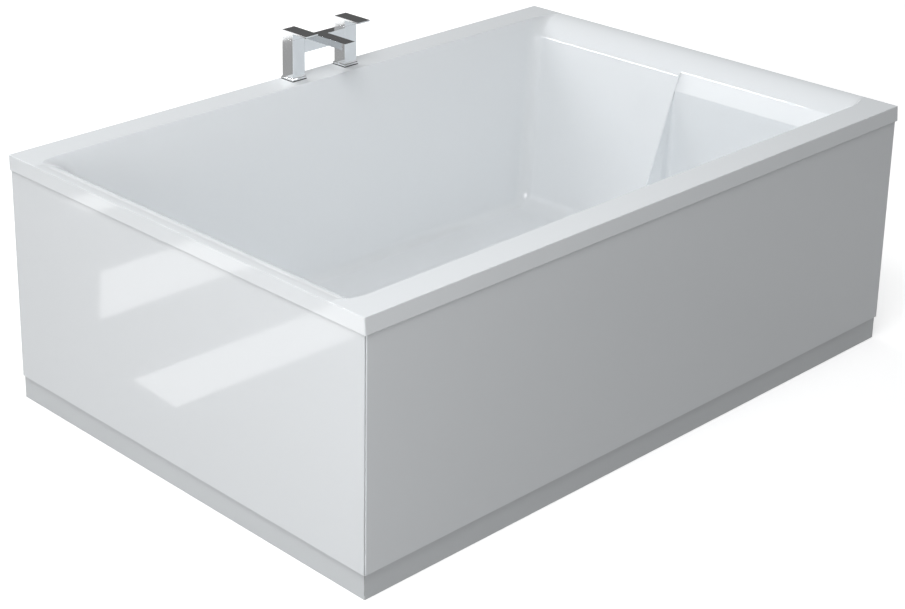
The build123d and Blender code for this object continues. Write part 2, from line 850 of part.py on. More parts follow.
with BuildPart() as trap_nut:
    with BuildSketch(Plane.XY.offset(trap_flange_under - nut_lip)):
        RegularPolygon(outlet_diameter / 2 + nut_wall, 12, major_radius=False)
    extrude(amount=trap_nut_height)
    with BuildSketch(Plane.XY.offset(trap_flange_under)):
        Circle(outlet_diameter / 2 + thread_fit)
    extrude(amount=trap_nut_height, mode=Mode.SUBTRACT)
    with BuildSketch(Plane.XY.offset(trap_flange_under - nut_lip)):
        Circle(trap_diameter / 2 + thread_fit)
    extrude(amount=nut_lip, mode=Mode.SUBTRACT)
trap_nut.part.label = "trap_nut"
export_step(trap_nut.part, "parts/trap_nut.step")

groove_y = trap_outlet_y + coupler_length / 2 + groove_gap
with BuildPart() as waste_pipe:
    with BuildSketch(Plane.XZ.offset(-trap_outlet_y)):
        with Locations((0, pipe_level)):
            Circle(pipe_diameter / 2)
            Circle(pipe_bore / 2, mode=Mode.SUBTRACT)
    extrude(amount=trap_outlet_y - groove_y)
    with BuildSketch(Plane.XZ.offset(-groove_y)):
        with Locations((0, pipe_level)):
            Circle(pipe_diameter / 2 - groove_depth)
            Circle(pipe_bore / 2, mode=Mode.SUBTRACT)
    extrude(amount=-groove_width)
    with BuildSketch(Plane.XZ.offset(-groove_y - groove_width)):
        with Locations((0, pipe_level)):
            Circle(pipe_diameter / 2)
            Circle(pipe_bore / 2, mode=Mode.SUBTRACT)
    extrude(amount=groove_y + groove_width - pipe_end_y)
waste_pipe.part.label = "waste_pipe"
export_step(waste_pipe.part, "parts/waste_pipe.step")

with BuildPart() as pipe_coupler:
    with BuildSketch(Plane.XZ.offset(-trap_outlet_y)):
        with Locations((0, pipe_level)):
            Circle(pipe_diameter / 2 + coupler_wall)
            Circle(pipe_diameter / 2 + thread_fit, mode=Mode.SUBTRACT)
    extrude(amount=coupler_length / 2, both=True)
pipe_coupler.part.label = "pipe_coupler"
export_step(pipe_coupler.part, "parts/pipe_coupler.step")

# Overflow: fixed ring, turning cap, seal and moulded body behind the shell
body_front = -shell_wall - overflow_seal
body_middle = body_front - overflow_body_depth / 2
ring_hole_radius = (overflow_ring + overflow_stem) / 4 - overflow_slot / 4
screw_radius = ring_hole_radius
with BuildPart() as overflow_ring_plate:
    with BuildSketch(overflow_plane):
        Circle(overflow_ring / 2)
        Circle(overflow_stem / 2 + stem_fit, mode=Mode.SUBTRACT)
        with PolarLocations(ring_hole_radius, 6, start_angle=30):
            Circle(overflow_slot / 2, mode=Mode.SUBTRACT)
        with PolarLocations(screw_radius, 2):
            Circle(screw_shank / 2 + screw_fit, mode=Mode.SUBTRACT)
    extrude(amount=overflow_ring_height)
overflow_ring_plate.part.label = "overflow_ring"
export_step(overflow_ring_plate.part, "parts/overflow_ring.step")

with BuildPart() as overflow_screws:
    with BuildSketch(overflow_plane.offset(overflow_ring_height)):
        with PolarLocations(screw_radius, 2):
            Circle(screw_head / 2)
    extrude(amount=screw_head_height)
    with BuildSketch(overflow_plane.offset(overflow_ring_height)):
        with PolarLocations(screw_radius, 2):
            Circle(screw_shank / 2)
    extrude(amount=body_front - overflow_ring_height - overflow_body_depth / 2)
overflow_screws.part.label = "overflow_screws"
export_step(overflow_screws.part, "parts/overflow_screws.step")

cap_under = overflow_ring_height + overflow_cap_gap
with BuildPart() as overflow_cap_piece:
    with BuildSketch(overflow_plane.offset(cap_under)):
        Circle(overflow_cap / 2)
    extrude(amount=overflow_cap_height)
    with BuildSketch(overflow_plane.offset(cap_under + overflow_cap_height)):
        SlotOverall(overflow_cap - overflow_grip, overflow_grip)
    extrude(amount=overflow_grip_height)
    with BuildSketch(overflow_plane.offset(body_front - overflow_body_depth)):
        Circle(overflow_stem / 2)
    extrude(amount=cap_under - body_front + overflow_body_depth)
overflow_cap_piece.part.label = "overflow_cap"
export_step(overflow_cap_piece.part, "parts/overflow_cap.step")

with BuildPart() as overflow_seal_ring:
    with BuildSketch(overflow_back):
        Circle(overflow_body / 2)
        Circle(overflow_hole / 2, mode=Mode.SUBTRACT)
    extrude(amount=-overflow_seal)
overflow_seal_ring.part.label = "overflow_seal"
export_step(overflow_seal_ring.part, "parts/overflow_seal.step")

port_start = overflow_body / 2 - overflow_body_wall
port_end = overflow_body / 2 + overflow_screw_boss
port_root = overflow_body_wall / 4
body_side = overflow_body / 2
port_plane = Plane(
    origin=overflow_plane.from_local_coords(Vector(0, port_start, body_middle)),
    x_dir=(1, 0, 0),
    z_dir=overflow_plane.y_dir,
)
gland_plane = Plane(
    origin=overflow_plane.from_local_coords(Vector(port_start, 0, body_middle)),
    z_dir=(1, 0, 0),
)
with BuildPart() as overflow_body_piece:
    with BuildSketch(overflow_plane.offset(body_front)):
        Circle(overflow_body / 2)
    extrude(amount=-overflow_body_depth)
    with BuildSketch(overflow_plane.offset(body_front)):
        Circle(overflow_body / 2 - overflow_body_wall)
    extrude(amount=overflow_body_wall - overflow_body_depth, mode=Mode.SUBTRACT)
    with BuildSketch(overflow_plane.offset(body_front - overflow_body_wall)):
        with PolarLocations(screw_radius, 2):
            Circle(screw_head / 2)
    extrude(amount=overflow_body_wall - overflow_body_depth)
    with BuildSketch(overflow_plane.offset(body_front - overflow_body_wall)):
        with PolarLocations(screw_radius, 2):
            Circle(screw_shank / 2 + screw_fit)
    extrude(amount=-overflow_body_depth / 2, mode=Mode.SUBTRACT)
    with BuildSketch(overflow_plane.offset(body_front - overflow_body_depth)):
        Circle(overflow_stem / 2 + stem_fit)
    extrude(amount=overflow_body_wall, mode=Mode.SUBTRACT)
    with BuildSketch(port_plane.offset(port_root)):
        Circle(hose_bore / 2)
    extrude(amount=port_end - port_start - port_root)
    with BuildSketch(port_plane.offset(-port_root)):
        Circle(hose_bore / 2 - port_wall)
    extrude(amount=port_end - port_start + port_root, mode=Mode.SUBTRACT)
    with BuildSketch(gland_plane.offset(port_root)):
        Circle(cable_diameter)
    extrude(amount=overflow_body_wall + cable_diameter - port_root)
    with BuildSketch(gland_plane.offset(-port_root)):
        Circle(cable_diameter / 2 + rod_fit)
    extrude(amount=overflow_body_wall + cable_diameter + port_root, mode=Mode.SUBTRACT)
overflow_body_piece.part.label = "overflow_body"
export_step(overflow_body_piece.part, "parts/overflow_body.step")

hose_start = overflow_plane.from_local_coords(Vector(0, port_end - hose_overlap, body_middle))
hose_turn_y = hose_start.Y + (hose_start.Z - port_level) * lean
hose_end_y = hose_overlap - port_length
hose_plane = Plane(origin=hose_start, x_dir=(1, 0, 0), z_dir=overflow_plane.y_dir)
with BuildPart() as overflow_hose:
    with BuildLine() as hose_path:
        FilletPolyline(
            (0, hose_start.Y, hose_start.Z),
            (0, hose_turn_y, port_level),
            (0, hose_end_y, port_level),
            radius=hose_bend,
        )
    with BuildSketch(hose_plane):
        Circle(hose_diameter / 2)
        Circle(hose_bore / 2 + rod_fit, mode=Mode.SUBTRACT)
    sweep(path=hose_path.wires()[0])
overflow_hose.part.label = "overflow_hose"
export_step(overflow_hose.part, "parts/overflow_hose.step")

cable_start = overflow_plane.from_local_coords(Vector(body_side, 0, body_middle))
cable_x = cup_diameter / 2 + cable_bend
cable_turn_y = cable_start.Y + (cable_start.Z - gland_level) * lean
with BuildPart() as plug_cable:
    with BuildLine() as cable_path:
        FilletPolyline(
            (cable_start.X, cable_start.Y, cable_start.Z),
            (cable_x, cable_start.Y, cable_start.Z),
            (cable_x, cable_turn_y, gland_level),
            (cable_x, 0, gland_level),
            (cup_diameter / 2, 0, gland_level),
            radius=cable_side,
        )
    with BuildSketch(Plane(origin=cable_start, z_dir=(1, 0, 0))):
        Circle(cable_diameter / 2)
    sweep(path=cable_path.wires()[0])
plug_cable.part.label = "plug_cable"
export_step(plug_cable.part, "parts/plug_cable.step")

# Bath filler on the wall side rim
plate_under = height + gasket_height
pillar_under = plate_under + plate_height
pillar_head = height + pillar_top
bar_head = height + bar_top
bar_foot = bar_head - bar_height
bar_front = tap_y - pillar_size / 2
spout_foot = bar_head - spout_height
water_level = spout_foot + spout_height / 2
water_y = bar_front + bar_depth / 2
tail_head = pillar_under + tail_in_pillar
cartridge_foot = pillar_head - cartridge_length
room_foot = cartridge_foot + cartridge_floor
room_head = room_foot + cartridge_room
bar_end = tap_pitch / 2 - pillar_size / 2

with BuildPart() as tap_gaskets:
    with BuildSketch(Plane.XY.offset(height)):
        with Locations(*tap_spots):
            Rectangle(gasket_size, gasket_size)
            Circle(tail_diameter / 2 + thread_fit, mode=Mode.SUBTRACT)
    extrude(amount=gasket_height)
tap_gaskets.part.label = "tap_gaskets"
export_step(tap_gaskets.part, "parts/tap_gaskets.step")

with BuildPart() as tap_plates:
    with BuildSketch(Plane.XY.offset(plate_under)):
        with Locations(*tap_spots):
            Rectangle(plate_size, plate_size)
    extrude(amount=plate_height)
    fillet(edges().filter_by(Axis.Z), radius=pillar_edge)
    chamfer(edges().group_by(Axis.Z)[-1], length=pillar_edge)
    with BuildSketch(Plane.XY.offset(plate_under)):
        with Locations(*tap_spots):
            Circle(tail_diameter / 2 + thread_fit)
    extrude(amount=plate_height, mode=Mode.SUBTRACT)
tap_plates.part.label = "tap_plates"
export_step(tap_plates.part, "parts/tap_plates.step")

with BuildPart() as tap_pillars:
    with BuildSketch(Plane.XY.offset(pillar_under)):
        with Locations(*tap_spots):
            Rectangle(pillar_size, pillar_size)
    extrude(amount=pillar_head - pillar_under)
    fillet(edges().filter_by(Axis.Z), radius=pillar_edge)
    with BuildSketch(Plane.XY.offset(pillar_under)):
        with Locations(*tap_spots):
            Circle(tail_diameter / 2 + thread_fit)
    extrude(amount=tail_in_pillar, mode=Mode.SUBTRACT)
    with BuildSketch(Plane.XY.offset(tail_head)):
        with Locations(*tap_spots):
            Circle(tail_bore / 2)
    extrude(amount=cartridge_foot - tail_head, mode=Mode.SUBTRACT)
    with BuildSketch(Plane.XY.offset(cartridge_foot)):
        with Locations(*tap_spots):
            Circle(cartridge_diameter / 2 + cartridge_fit)
    extrude(amount=cartridge_length, mode=Mode.SUBTRACT)
    with BuildSketch(Plane.YZ.offset(tap_centre_x)):
        with Locations((water_y, water_level)):
            Circle(water_way / 2)
    extrude(amount=tap_pitch / 2, both=True, mode=Mode.SUBTRACT)
tap_pillars.part.label = "tap_pillars"
export_step(tap_pillars.part, "parts/tap_pillars.step")

outlet_y = bar_front - spout_reach + outlet_set_back
spout_x = tap_centre_x - spout_offset
with BuildPart() as tap_bridge:
    with BuildSketch(Plane.XY.offset(bar_foot)):
        with Locations((tap_centre_x, bar_front + bar_depth / 2)):
            Rectangle(2 * bar_end, bar_depth)
    extrude(amount=bar_height)
    with BuildSketch(Plane.XY.offset(spout_foot)):
        with Locations((spout_x, bar_front - spout_reach / 2)):
            Rectangle(spout_width, spout_reach)
    extrude(amount=spout_height)
    front_edges = faces().sort_by(Axis.Y)[0].edges()
    fillet(front_edges, radius=pillar_edge)
    with BuildSketch(Plane.YZ.offset(tap_centre_x)):
        with Locations((water_y, water_level)):
            Circle(water_way / 2)
    extrude(amount=bar_end, both=True, mode=Mode.SUBTRACT)
    with BuildSketch(Plane.XY.offset(water_level - spout_way_height / 2)):
        with Locations((spout_x, (outlet_y + water_y) / 2)):
            Rectangle(spout_way_width, water_y - outlet_y)
        with Locations((spout_x, outlet_y)):
            Circle(spout_way_width / 2)
    extrude(amount=spout_way_height, mode=Mode.SUBTRACT)
    with BuildSketch(Plane.XY.offset(spout_foot)):
        with Locations((spout_x, outlet_y)):
            Circle(outlet_hole / 2)
    extrude(amount=spout_height / 2, mode=Mode.SUBTRACT)
tap_bridge.part.label = "tap_bridge"
export_step(tap_bridge.part, "parts/tap_bridge.step")

with BuildPart() as aerator:
    with BuildSketch(Plane.XY.offset(spout_foot)):
        with Locations((spout_x, outlet_y)):
            Circle(outlet_hole / 2 - aerator_fit)
            Circle(outlet_hole / 2 - aerator_ring, mode=Mode.SUBTRACT)
            with GridLocations((outlet_hole - aerator_ring) / 5, 0, 5, 1):
                Rectangle(aerator_bar, outlet_hole)
            with GridLocations(0, (outlet_hole - aerator_ring) / 5, 1, 5):
                Rectangle(outlet_hole, aerator_bar)
            Circle(outlet_hole / 2 - aerator_fit, mode=Mode.INTERSECT)
    extrude(amount=aerator_height)
aerator.part.label = "aerator"
export_step(aerator.part, "parts/aerator.step")

tail_foot = rim_under - tail_below
groove_top = rim_under - tail_washer_height - tail_nut_height - groove_gap
with BuildPart() as tap_tails:
    with BuildSketch(Plane.XY.offset(tail_foot)):
        with Locations(*tap_spots):
            Circle(tail_diameter / 2)
            Circle(tail_bore / 2, mode=Mode.SUBTRACT)
    extrude(amount=groove_top - groove_width - tail_foot)
    with BuildSketch(Plane.XY.offset(groove_top - groove_width)):
        with Locations(*tap_spots):
            Circle(tail_diameter / 2 - groove_depth)
            Circle(tail_bore / 2, mode=Mode.SUBTRACT)
    extrude(amount=groove_width)
    with BuildSketch(Plane.XY.offset(groove_top)):
        with Locations(*tap_spots):
            Circle(tail_diameter / 2)
            Circle(tail_bore / 2, mode=Mode.SUBTRACT)
    extrude(amount=tail_head - groove_top)
tap_tails.part.label = "tap_tails"
export_step(tap_tails.part, "parts/tap_tails.step")

with BuildPart() as tail_washers:
    with BuildSketch(Plane.XY.offset(rim_under)):
        with Locations(*tap_spots):
            Circle(tail_washer / 2)
            Circle(tail_diameter / 2 + thread_fit, mode=Mode.SUBTRACT)
    extrude(amount=-tail_washer_height)
tail_washers.part.label = "tail_washers"
export_step(tail_washers.part, "parts/tail_washers.step")

with BuildPart() as tail_nuts:
    with BuildSketch(Plane.XY.offset(rim_under - tail_washer_height)):
        with Locations(*tap_spots):
            RegularPolygon(tail_nut_flats / 2, 6, major_radius=False)
            Circle(tail_diameter / 2 + thread_fit, mode=Mode.SUBTRACT)
    extrude(amount=-tail_nut_height)
tail_nuts.part.label = "tail_nuts"
export_step(tail_nuts.part, "parts/tail_nuts.step")

with BuildPart() as cartridges:
    with BuildSketch(Plane.XY.offset(cartridge_foot)):
        with Locations(*tap_spots):
            Circle(cartridge_diameter / 2)
    extrude(amount=cartridge_length)
    with BuildSketch(Plane.XY.offset(cartridge_foot)):
        with Locations(*tap_spots):
            Circle(disc_opening)
    extrude(amount=cartridge_floor, mode=Mode.SUBTRACT)
    with BuildSketch(Plane.XY.offset(room_foot)):
        with Locations(*tap_spots):
            Circle(disc_diameter / 2 + cartridge_fit)
    extrude(amount=cartridge_room, mode=Mode.SUBTRACT)
    with BuildSketch(Plane.XY.offset(room_head)):
        with Locations(*tap_spots):
            Circle(spindle_diameter / 2 + cartridge_fit)
    extrude(amount=cartridge_length, mode=Mode.SUBTRACT)
    with BuildSketch(Plane.YZ.offset(tap_centre_x)):
        with Locations((water_y, water_level)):
            Circle(water_way / 2 - cartridge_floor)
    extrude(amount=tap_pitch / 2, both=True, mode=Mode.SUBTRACT)
cartridges.part.label = "cartridges"
export_step(cartridges.part, "parts/cartridges.step")

with BuildPart() as fixed_discs:
    with BuildSketch(Plane.XY.offset(room_foot)):
        with Locations(*tap_spots):
            Circle(disc_diameter / 2)
            with Locations((0, disc_opening_at), (0, -disc_opening_at)):
                Circle(disc_opening / 2, mode=Mode.SUBTRACT)
    extrude(amount=disc_height)
fixed_discs.part.label = "fixed_discs"
export_step(fixed_discs.part, "parts/fixed_discs.step")

turning_disc_foot = room_foot + disc_height + cartridge_fit / 2
turning_disc_head = turning_disc_foot + disc_height


def lever_piece(centre_x):
    """One tap lever: a square hub on the pillar with a flat blade that points over the bath."""
    hub_foot = pillar_head + hub_gap
    blade_foot = hub_foot + hub_height
    with BuildPart() as lever:
        with BuildSketch(Plane.XY.offset(hub_foot)):
            with Locations((centre_x, tap_y)):
                Rectangle(pillar_size, pillar_size)
        extrude(amount=hub_height)
        fillet(edges().filter_by(Axis.Z), radius=pillar_edge)
        with BuildSketch(Plane.XY.offset(blade_foot)):
            with Locations((centre_x, tap_y + (pillar_size - blade_length) / 2)):
                Rectangle(pillar_size, blade_length)
        extrude(amount=blade_thickness)
        fillet(faces().sort_by(Axis.Y)[0].edges(), radius=blade_edge)
        with BuildSketch(Plane.XY.offset(hub_foot)):
            with Locations((centre_x, tap_y)):
                Circle(spindle_diameter / 2 + cartridge_fit / 4)
        extrude(amount=spindle_in_hub, mode=Mode.SUBTRACT)
        with BuildSketch(Plane.XZ.offset(-tap_y)):
            with Locations((centre_x, hub_foot + grub_level)):
                Circle(grub_diameter / 2 + cartridge_fit / 4)
        extrude(amount=-pillar_size / 2, mode=Mode.SUBTRACT)
    return lever.part


def spindle_piece(centre_x):
    """One spindle with its driving foot, which sits on the turning disc."""
    with BuildPart() as spindle:
        with BuildSketch(Plane.XY.offset(turning_disc_head)):
            with Locations((centre_x, tap_y)):
                Circle(spindle_foot / 2)
        extrude(amount=spindle_foot_height)
        with BuildSketch(Plane.XY.offset(turning_disc_head)):
            with Locations((centre_x, tap_y)):
                Circle(spindle_diameter / 2)
        extrude(amount=pillar_head + hub_gap + spindle_in_hub - turning_disc_head)
    return spindle.part


def turning_disc_piece(centre_x):
    """One turning ceramic disc, with the openings that line up with those of the fixed disc."""
    with BuildPart() as disc:
        with BuildSketch(Plane.XY.offset(turning_disc_foot)):
            with Locations((centre_x, tap_y)):
                Circle(disc_diameter / 2)
                with Locations((disc_opening_at, 0), (-disc_opening_at, 0)):
                    Circle(disc_opening / 2, mode=Mode.SUBTRACT)
        extrude(amount=disc_height)
    return disc.part


def grub_piece(centre_x):
    """The grub screw in the back of a lever hub."""
    with BuildPart() as grub:
        with BuildSketch(Plane.XZ.offset(-tap_y - spindle_diameter / 2)):
            with Locations((centre_x, pillar_head + hub_gap + grub_level)):
                Circle(grub_diameter / 2)
        extrude(amount=-grub_length)
        with BuildSketch(Plane.XZ.offset(-tap_y - spindle_diameter / 2 - grub_length)):
            with Locations((centre_x, pillar_head + hub_gap + grub_level)):
                RegularPolygon(grub_diameter / 4, 6)
        extrude(amount=grub_length / 2, mode=Mode.SUBTRACT)
    return grub.part


for side_name, side_x in (("hot", hot_x), ("cold", cold_x)):
    for piece_name, piece in (
        ("lever_" + side_name, lever_piece(side_x)),
        ("spindle_" + side_name, spindle_piece(side_x)),
        ("turning_disc_" + side_name, turning_disc_piece(side_x)),
        ("grub_screw_" + side_name, grub_piece(side_x)),
    ):
        piece.label = piece_name
        export_step(piece, "parts/" + piece_name + ".step")
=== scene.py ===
import math

import bmesh
import bpy
from mathutils import Matrix, Vector


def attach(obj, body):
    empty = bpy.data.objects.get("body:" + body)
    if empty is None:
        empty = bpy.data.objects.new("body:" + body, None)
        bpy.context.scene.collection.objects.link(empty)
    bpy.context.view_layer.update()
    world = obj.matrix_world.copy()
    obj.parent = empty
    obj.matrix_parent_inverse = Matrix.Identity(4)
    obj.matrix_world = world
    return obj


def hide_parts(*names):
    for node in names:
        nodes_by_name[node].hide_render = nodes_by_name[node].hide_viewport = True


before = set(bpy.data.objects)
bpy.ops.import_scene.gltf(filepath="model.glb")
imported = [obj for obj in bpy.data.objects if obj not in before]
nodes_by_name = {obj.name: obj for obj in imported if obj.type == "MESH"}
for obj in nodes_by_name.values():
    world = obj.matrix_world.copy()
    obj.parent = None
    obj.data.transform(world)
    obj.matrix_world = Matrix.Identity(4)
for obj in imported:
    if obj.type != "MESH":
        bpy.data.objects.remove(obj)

scene = bpy.context.scene
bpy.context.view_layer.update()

# The view.
# The camera stands to the left of the near corner and above it, with a long
# lens, at the place that puts the rim's corners where the photograph has them.
photo_width = 905
photo_focal = 2008.0
sensor_width = 36.0
frame_shift = (0.1532, -0.2082)
far_clip = 60.0
eye = Vector((-3.2725, -3.1033, 2.2460))
heading = math.radians(48.124)
dip = math.radians(19.4215)
roll = math.radians(-0.285)
forward = Vector((math.cos(dip) * math.cos(heading), math.cos(dip) * math.sin(heading), -math.sin(dip)))
level_right = Vector((math.sin(heading), -math.cos(heading), 0.0))
level_up = level_right.cross(forward)
camera_right = level_right * math.cos(roll) + level_up * math.sin(roll)
camera_up = level_up * math.cos(roll) - level_right * math.sin(roll)
camera_data = bpy.data.cameras.new("camera")
camera_data.sensor_width = sensor_width
camera_data.lens = sensor_width * photo_focal / photo_width
camera_data.shift_x, camera_data.shift_y = frame_shift
camera_data.clip_end = far_clip
camera = bpy.data.objects.new("camera", camera_data)
camera.matrix_world = Matrix((
    (camera_right.x, camera_up.x, -forward.x, eye.x),
    (camera_right.y, camera_up.y, -forward.y, eye.y),
    (camera_right.z, camera_up.z, -forward.z, eye.z),
    (0.0, 0.0, 0.0, 1.0),
))
scene.collection.objects.link(camera)
scene.camera = camera

# The studio.
# A white floor without an edge, an even dim room and four soft lamps. Reflections
# alone show light strips beside the left end, two bright sheets for the crease and
# facet of the right end, a grey sheet behind the taps, and a dark ceiling and far wall.
scene.view_settings.view_transform = "Standard"
room_level = 0.315
room_tint = (0.97, 0.985, 1.0)
floor_reach = 14.0
floor_dull = 0.15
floor_white = 0.72
floor_lift = 0.57
strip_height = 0.0012
strip_level = 3.0
strip_corners = {
    "near_strip": [(-1.290, 0.828), (-1.475, 1.078), (-2.624, 1.070), (-2.621, 0.813)],
    "middle_strip": [(-1.131, 0.308), (-1.146, 0.493), (-2.617, 0.475), (-2.615, 0.289)],
    "far_strip": [(-1.709, 1.437), (-1.709, 1.574), (-2.629, 1.565), (-2.628, 1.429)],
}
grey_height = 0.0010
grey_level = 0.40
grey_corners = [(-1.78, 1.93), (-1.05, 1.93), (-1.05, 2.36), (-1.78, 2.36)]
crease_level = 30.0
crease_corners = [(-1.10, 1.6, 3.22), (-1.10, 3.1, 2.97), (-1.70, 3.1, 2.40), (-1.70, 1.6, 2.65)]
facet_level = 2.6
facet_corners = [(-1.45, 0.9, 2.25), (-1.45, 2.0, 2.25), (-2.00, 2.0, 1.70), (-2.00, 0.9, 1.70)]
horizon_top = 0.24
ceiling_foot = 0.40
ceiling_level = 0.11
far_wall_level = 0.15
far_wall_spread = (0.5, 1.1)
far_wall_rise = (0.06, 0.14)
lamps = {  # place, target, size, brightness of the lamp's own face, and whether reflections show it
    "end_lamp": ((-3.5, 0, 0.45), (0, 0, 0.3), (3.0, 0.8), 3.15, True),
    "near_lamp": ((-3.0, -2.6, 1.0), (-0.6, -0.6, 0.4), (1.6, 1.2), 3.76, True),
    "back_lamp": ((0, 5.0, 4.0), (0, 0, 0.4), (5.0, 3.0), 4.30, False),
    "high_left_lamp": ((-2.2, -1.2, 4.2), (0, 0, 0.4), (2.0, 2.0), 7.08, True),
}


def node_of(tree, kind, settings=None, **values):
    """One node with its settings, and with values for its inputs by name."""
    made = tree.nodes.new(kind)
    for key, value in (settings or {}).items():
        setattr(made, key, value)
    for key, value in values.items():
        made.inputs[key.replace("_", " ")].default_value = value
    return made


def wire(tree, *joints):
    """Links sockets of a tree: each joint is (node, its output, node, its input)."""
    for source, out, target, entry in joints:
        tree.links.new(source.outputs[out], target.inputs[entry])


def math_of(tree, operation, *values):
    """The output of a Math node whose inputs are numbers or outputs of other nodes."""
    made = node_of(tree, "ShaderNodeMath", {"operation": operation})
    for index, value in enumerate(values):
        if isinstance(value, (int, float)):
            made.inputs[index].default_value = value
        else:
            tree.links.new(value, made.inputs[index])
    return made.outputs[0]


def bare_tree(owner):
    """The node tree of a world or material, with no nodes."""
    owner.use_nodes = True
    owner.node_tree.nodes.clear()
    return owner.node_tree


def seen_straight(tree, path):
    """One where a ray looks at the background straight or through glass."""
    return math_of(tree, "MAXIMUM", path.outputs["Is Camera Ray"], path.outputs["Is Transmission Ray"])


world = bpy.data.worlds.new("room")
scene.world = world
room = bare_tree(world)
room_out = node_of(room, "ShaderNodeOutputWorld")
room_light = node_of(room, "ShaderNodeBackground", Color=(*room_tint, 1.0), Strength=room_level)
room_white = node_of(room, "ShaderNodeBackground", Strength=1.0)
room_mirrored = node_of(room, "ShaderNodeBackground")
way = node_of(room, "ShaderNodeTexCoord")


def room_ramp(value, from_min, from_max, to_min=0.0, to_max=1.0):
    """A value of the room mapped from one range to another and held at its ends."""
    ramp = node_of(room, "ShaderNodeMapRange", From_Min=from_min, From_Max=from_max, To_Min=to_min, To_Max=to_max)
    room.links.new(value, ramp.inputs["Value"])
    return ramp.outputs[0]


parts_of_way = node_of(room, "ShaderNodeSeparateXYZ")
wire(room, (way, "Generated", parts_of_way, 0))
upward = parts_of_way.outputs["Z"]
across = math_of(room, "ADD", parts_of_way.outputs["X"], parts_of_way.outputs["Y"])
behind_bath = math_of(room, "MULTIPLY", room_ramp(across, *far_wall_spread), room_ramp(upward, *far_wall_rise))
mirrored_level = node_of(room, "ShaderNodeMix", {"data_type": "FLOAT"})
mirrored_level.inputs[3].default_value = far_wall_level
room.links.new(behind_bath, mirrored_level.inputs[0])
room.links.new(room_ramp(upward, horizon_top, ceiling_foot, 1.0, ceiling_level), mirrored_level.inputs[2])
room_path = node_of(room, "ShaderNodeLightPath")
mirror_mix = node_of(room, "ShaderNodeMixShader")
room_mix = node_of(room, "ShaderNodeMixShader")
room.links.new(seen_straight(room, room_path), room_mix.inputs["Fac"])
wire(room, (mirrored_level, 0, room_mirrored, "Strength"), (room_path, "Is Glossy Ray", mirror_mix, "Fac"),
     (room_light, 0, mirror_mix, 1), (room_mirrored, 0, mirror_mix, 2), (mirror_mix, 0, room_mix, 1),
     (room_white, 0, room_mix, 2), (room_mix, 0, room_out, "Surface"))


def stage_sheet(name, corners, material):
    """A flat sheet of the studio, which isn't part of the bath."""
    mesh = bpy.data.meshes.new(name)
    mesh.from_pydata(corners, [], [tuple(range(len(corners)))])
    mesh.materials.append(material)
    sheet = bpy.data.objects.new(name, mesh)
    scene.collection.objects.link(sheet)
    return sheet


floor_finish = bpy.data.materials.new("studio_floor")
floor_tree = bare_tree(floor_finish)
floor_out = node_of(floor_tree, "ShaderNodeOutputMaterial")
floor_plain = node_of(floor_tree, "ShaderNodeBsdfDiffuse", Color=(floor_dull, floor_dull, floor_dull, 1.0))
floor_pale = node_of(floor_tree, "ShaderNodeBsdfDiffuse", Color=(floor_white, floor_white, floor_white, 1.0))
floor_glow = node_of(floor_tree, "ShaderNodeEmission", Strength=floor_lift)
floor_sum = node_of(floor_tree, "ShaderNodeAddShader")
floor_mix = node_of(floor_tree, "ShaderNodeMixShader")
floor_path = node_of(floor_tree, "ShaderNodeLightPath")
floor_tree.links.new(math_of(floor_tree, "MAXIMUM", seen_straight(floor_tree, floor_path),
                             floor_path.outputs["Is Glossy Ray"]), floor_mix.inputs["Fac"])
wire(floor_tree, (floor_pale, 0, floor_sum, 0), (floor_glow, 0, floor_sum, 1), (floor_plain, 0, floor_mix, 1),
     (floor_sum, 0, floor_mix, 2), (floor_mix, 0, floor_out, "Surface"))
stage_sheet("floor", [(x * floor_reach, y * floor_reach, 0) for x, y in ((-1, -1), (1, -1), (1, 1), (-1, 1))],
            floor_finish)


def glow_finish(name, level):
    """A finish that shines evenly."""
    material = bpy.data.materials.new(name)
    tree = bare_tree(material)
    glow = node_of(tree, "ShaderNodeEmission", Strength=level)
    wire(tree, (glow, 0, node_of(tree, "ShaderNodeOutputMaterial"), "Surface"))
    return material


def mirrored_sheet(name, corners, material):
    """A sheet of the studio that is seen in reflections alone."""
    sheet = stage_sheet(name, corners, material)
    sheet.visible_camera = sheet.visible_diffuse = sheet.visible_transmission = sheet.visible_shadow = False


strip_finish = glow_finish("light_strip", strip_level)
for strip_name, corners in strip_corners.items():
    mirrored_sheet(strip_name, [(x, y, strip_height) for x, y in corners], strip_finish)
mirrored_sheet("grey_sheet", [(x, y, grey_height) for x, y in grey_corners], glow_finish("grey_card", grey_level))
mirrored_sheet("crease_sheet", crease_corners, glow_finish("crease_glow", crease_level))
mirrored_sheet("facet_sheet", facet_corners, glow_finish("facet_glow", facet_level))
for lamp_name, (place, target, size, level, mirrored) in lamps.items():
    lamp_data = bpy.data.lights.new(lamp_name, "AREA")
    lamp_data.shape = "RECTANGLE"
    lamp_data.size, lamp_data.size_y = size
    lamp_data.energy = level * size[0] * size[1] * math.pi
    lamp = bpy.data.objects.new(lamp_name, lamp_data)
    lamp.location = place
    lamp.rotation_euler = (Vector(target) - Vector(place)).to_track_quat("-Z", "Y").to_euler()
    lamp.visible_camera = False
    lamp.visible_glossy = mirrored
    scene.collection.objects.link(lamp)


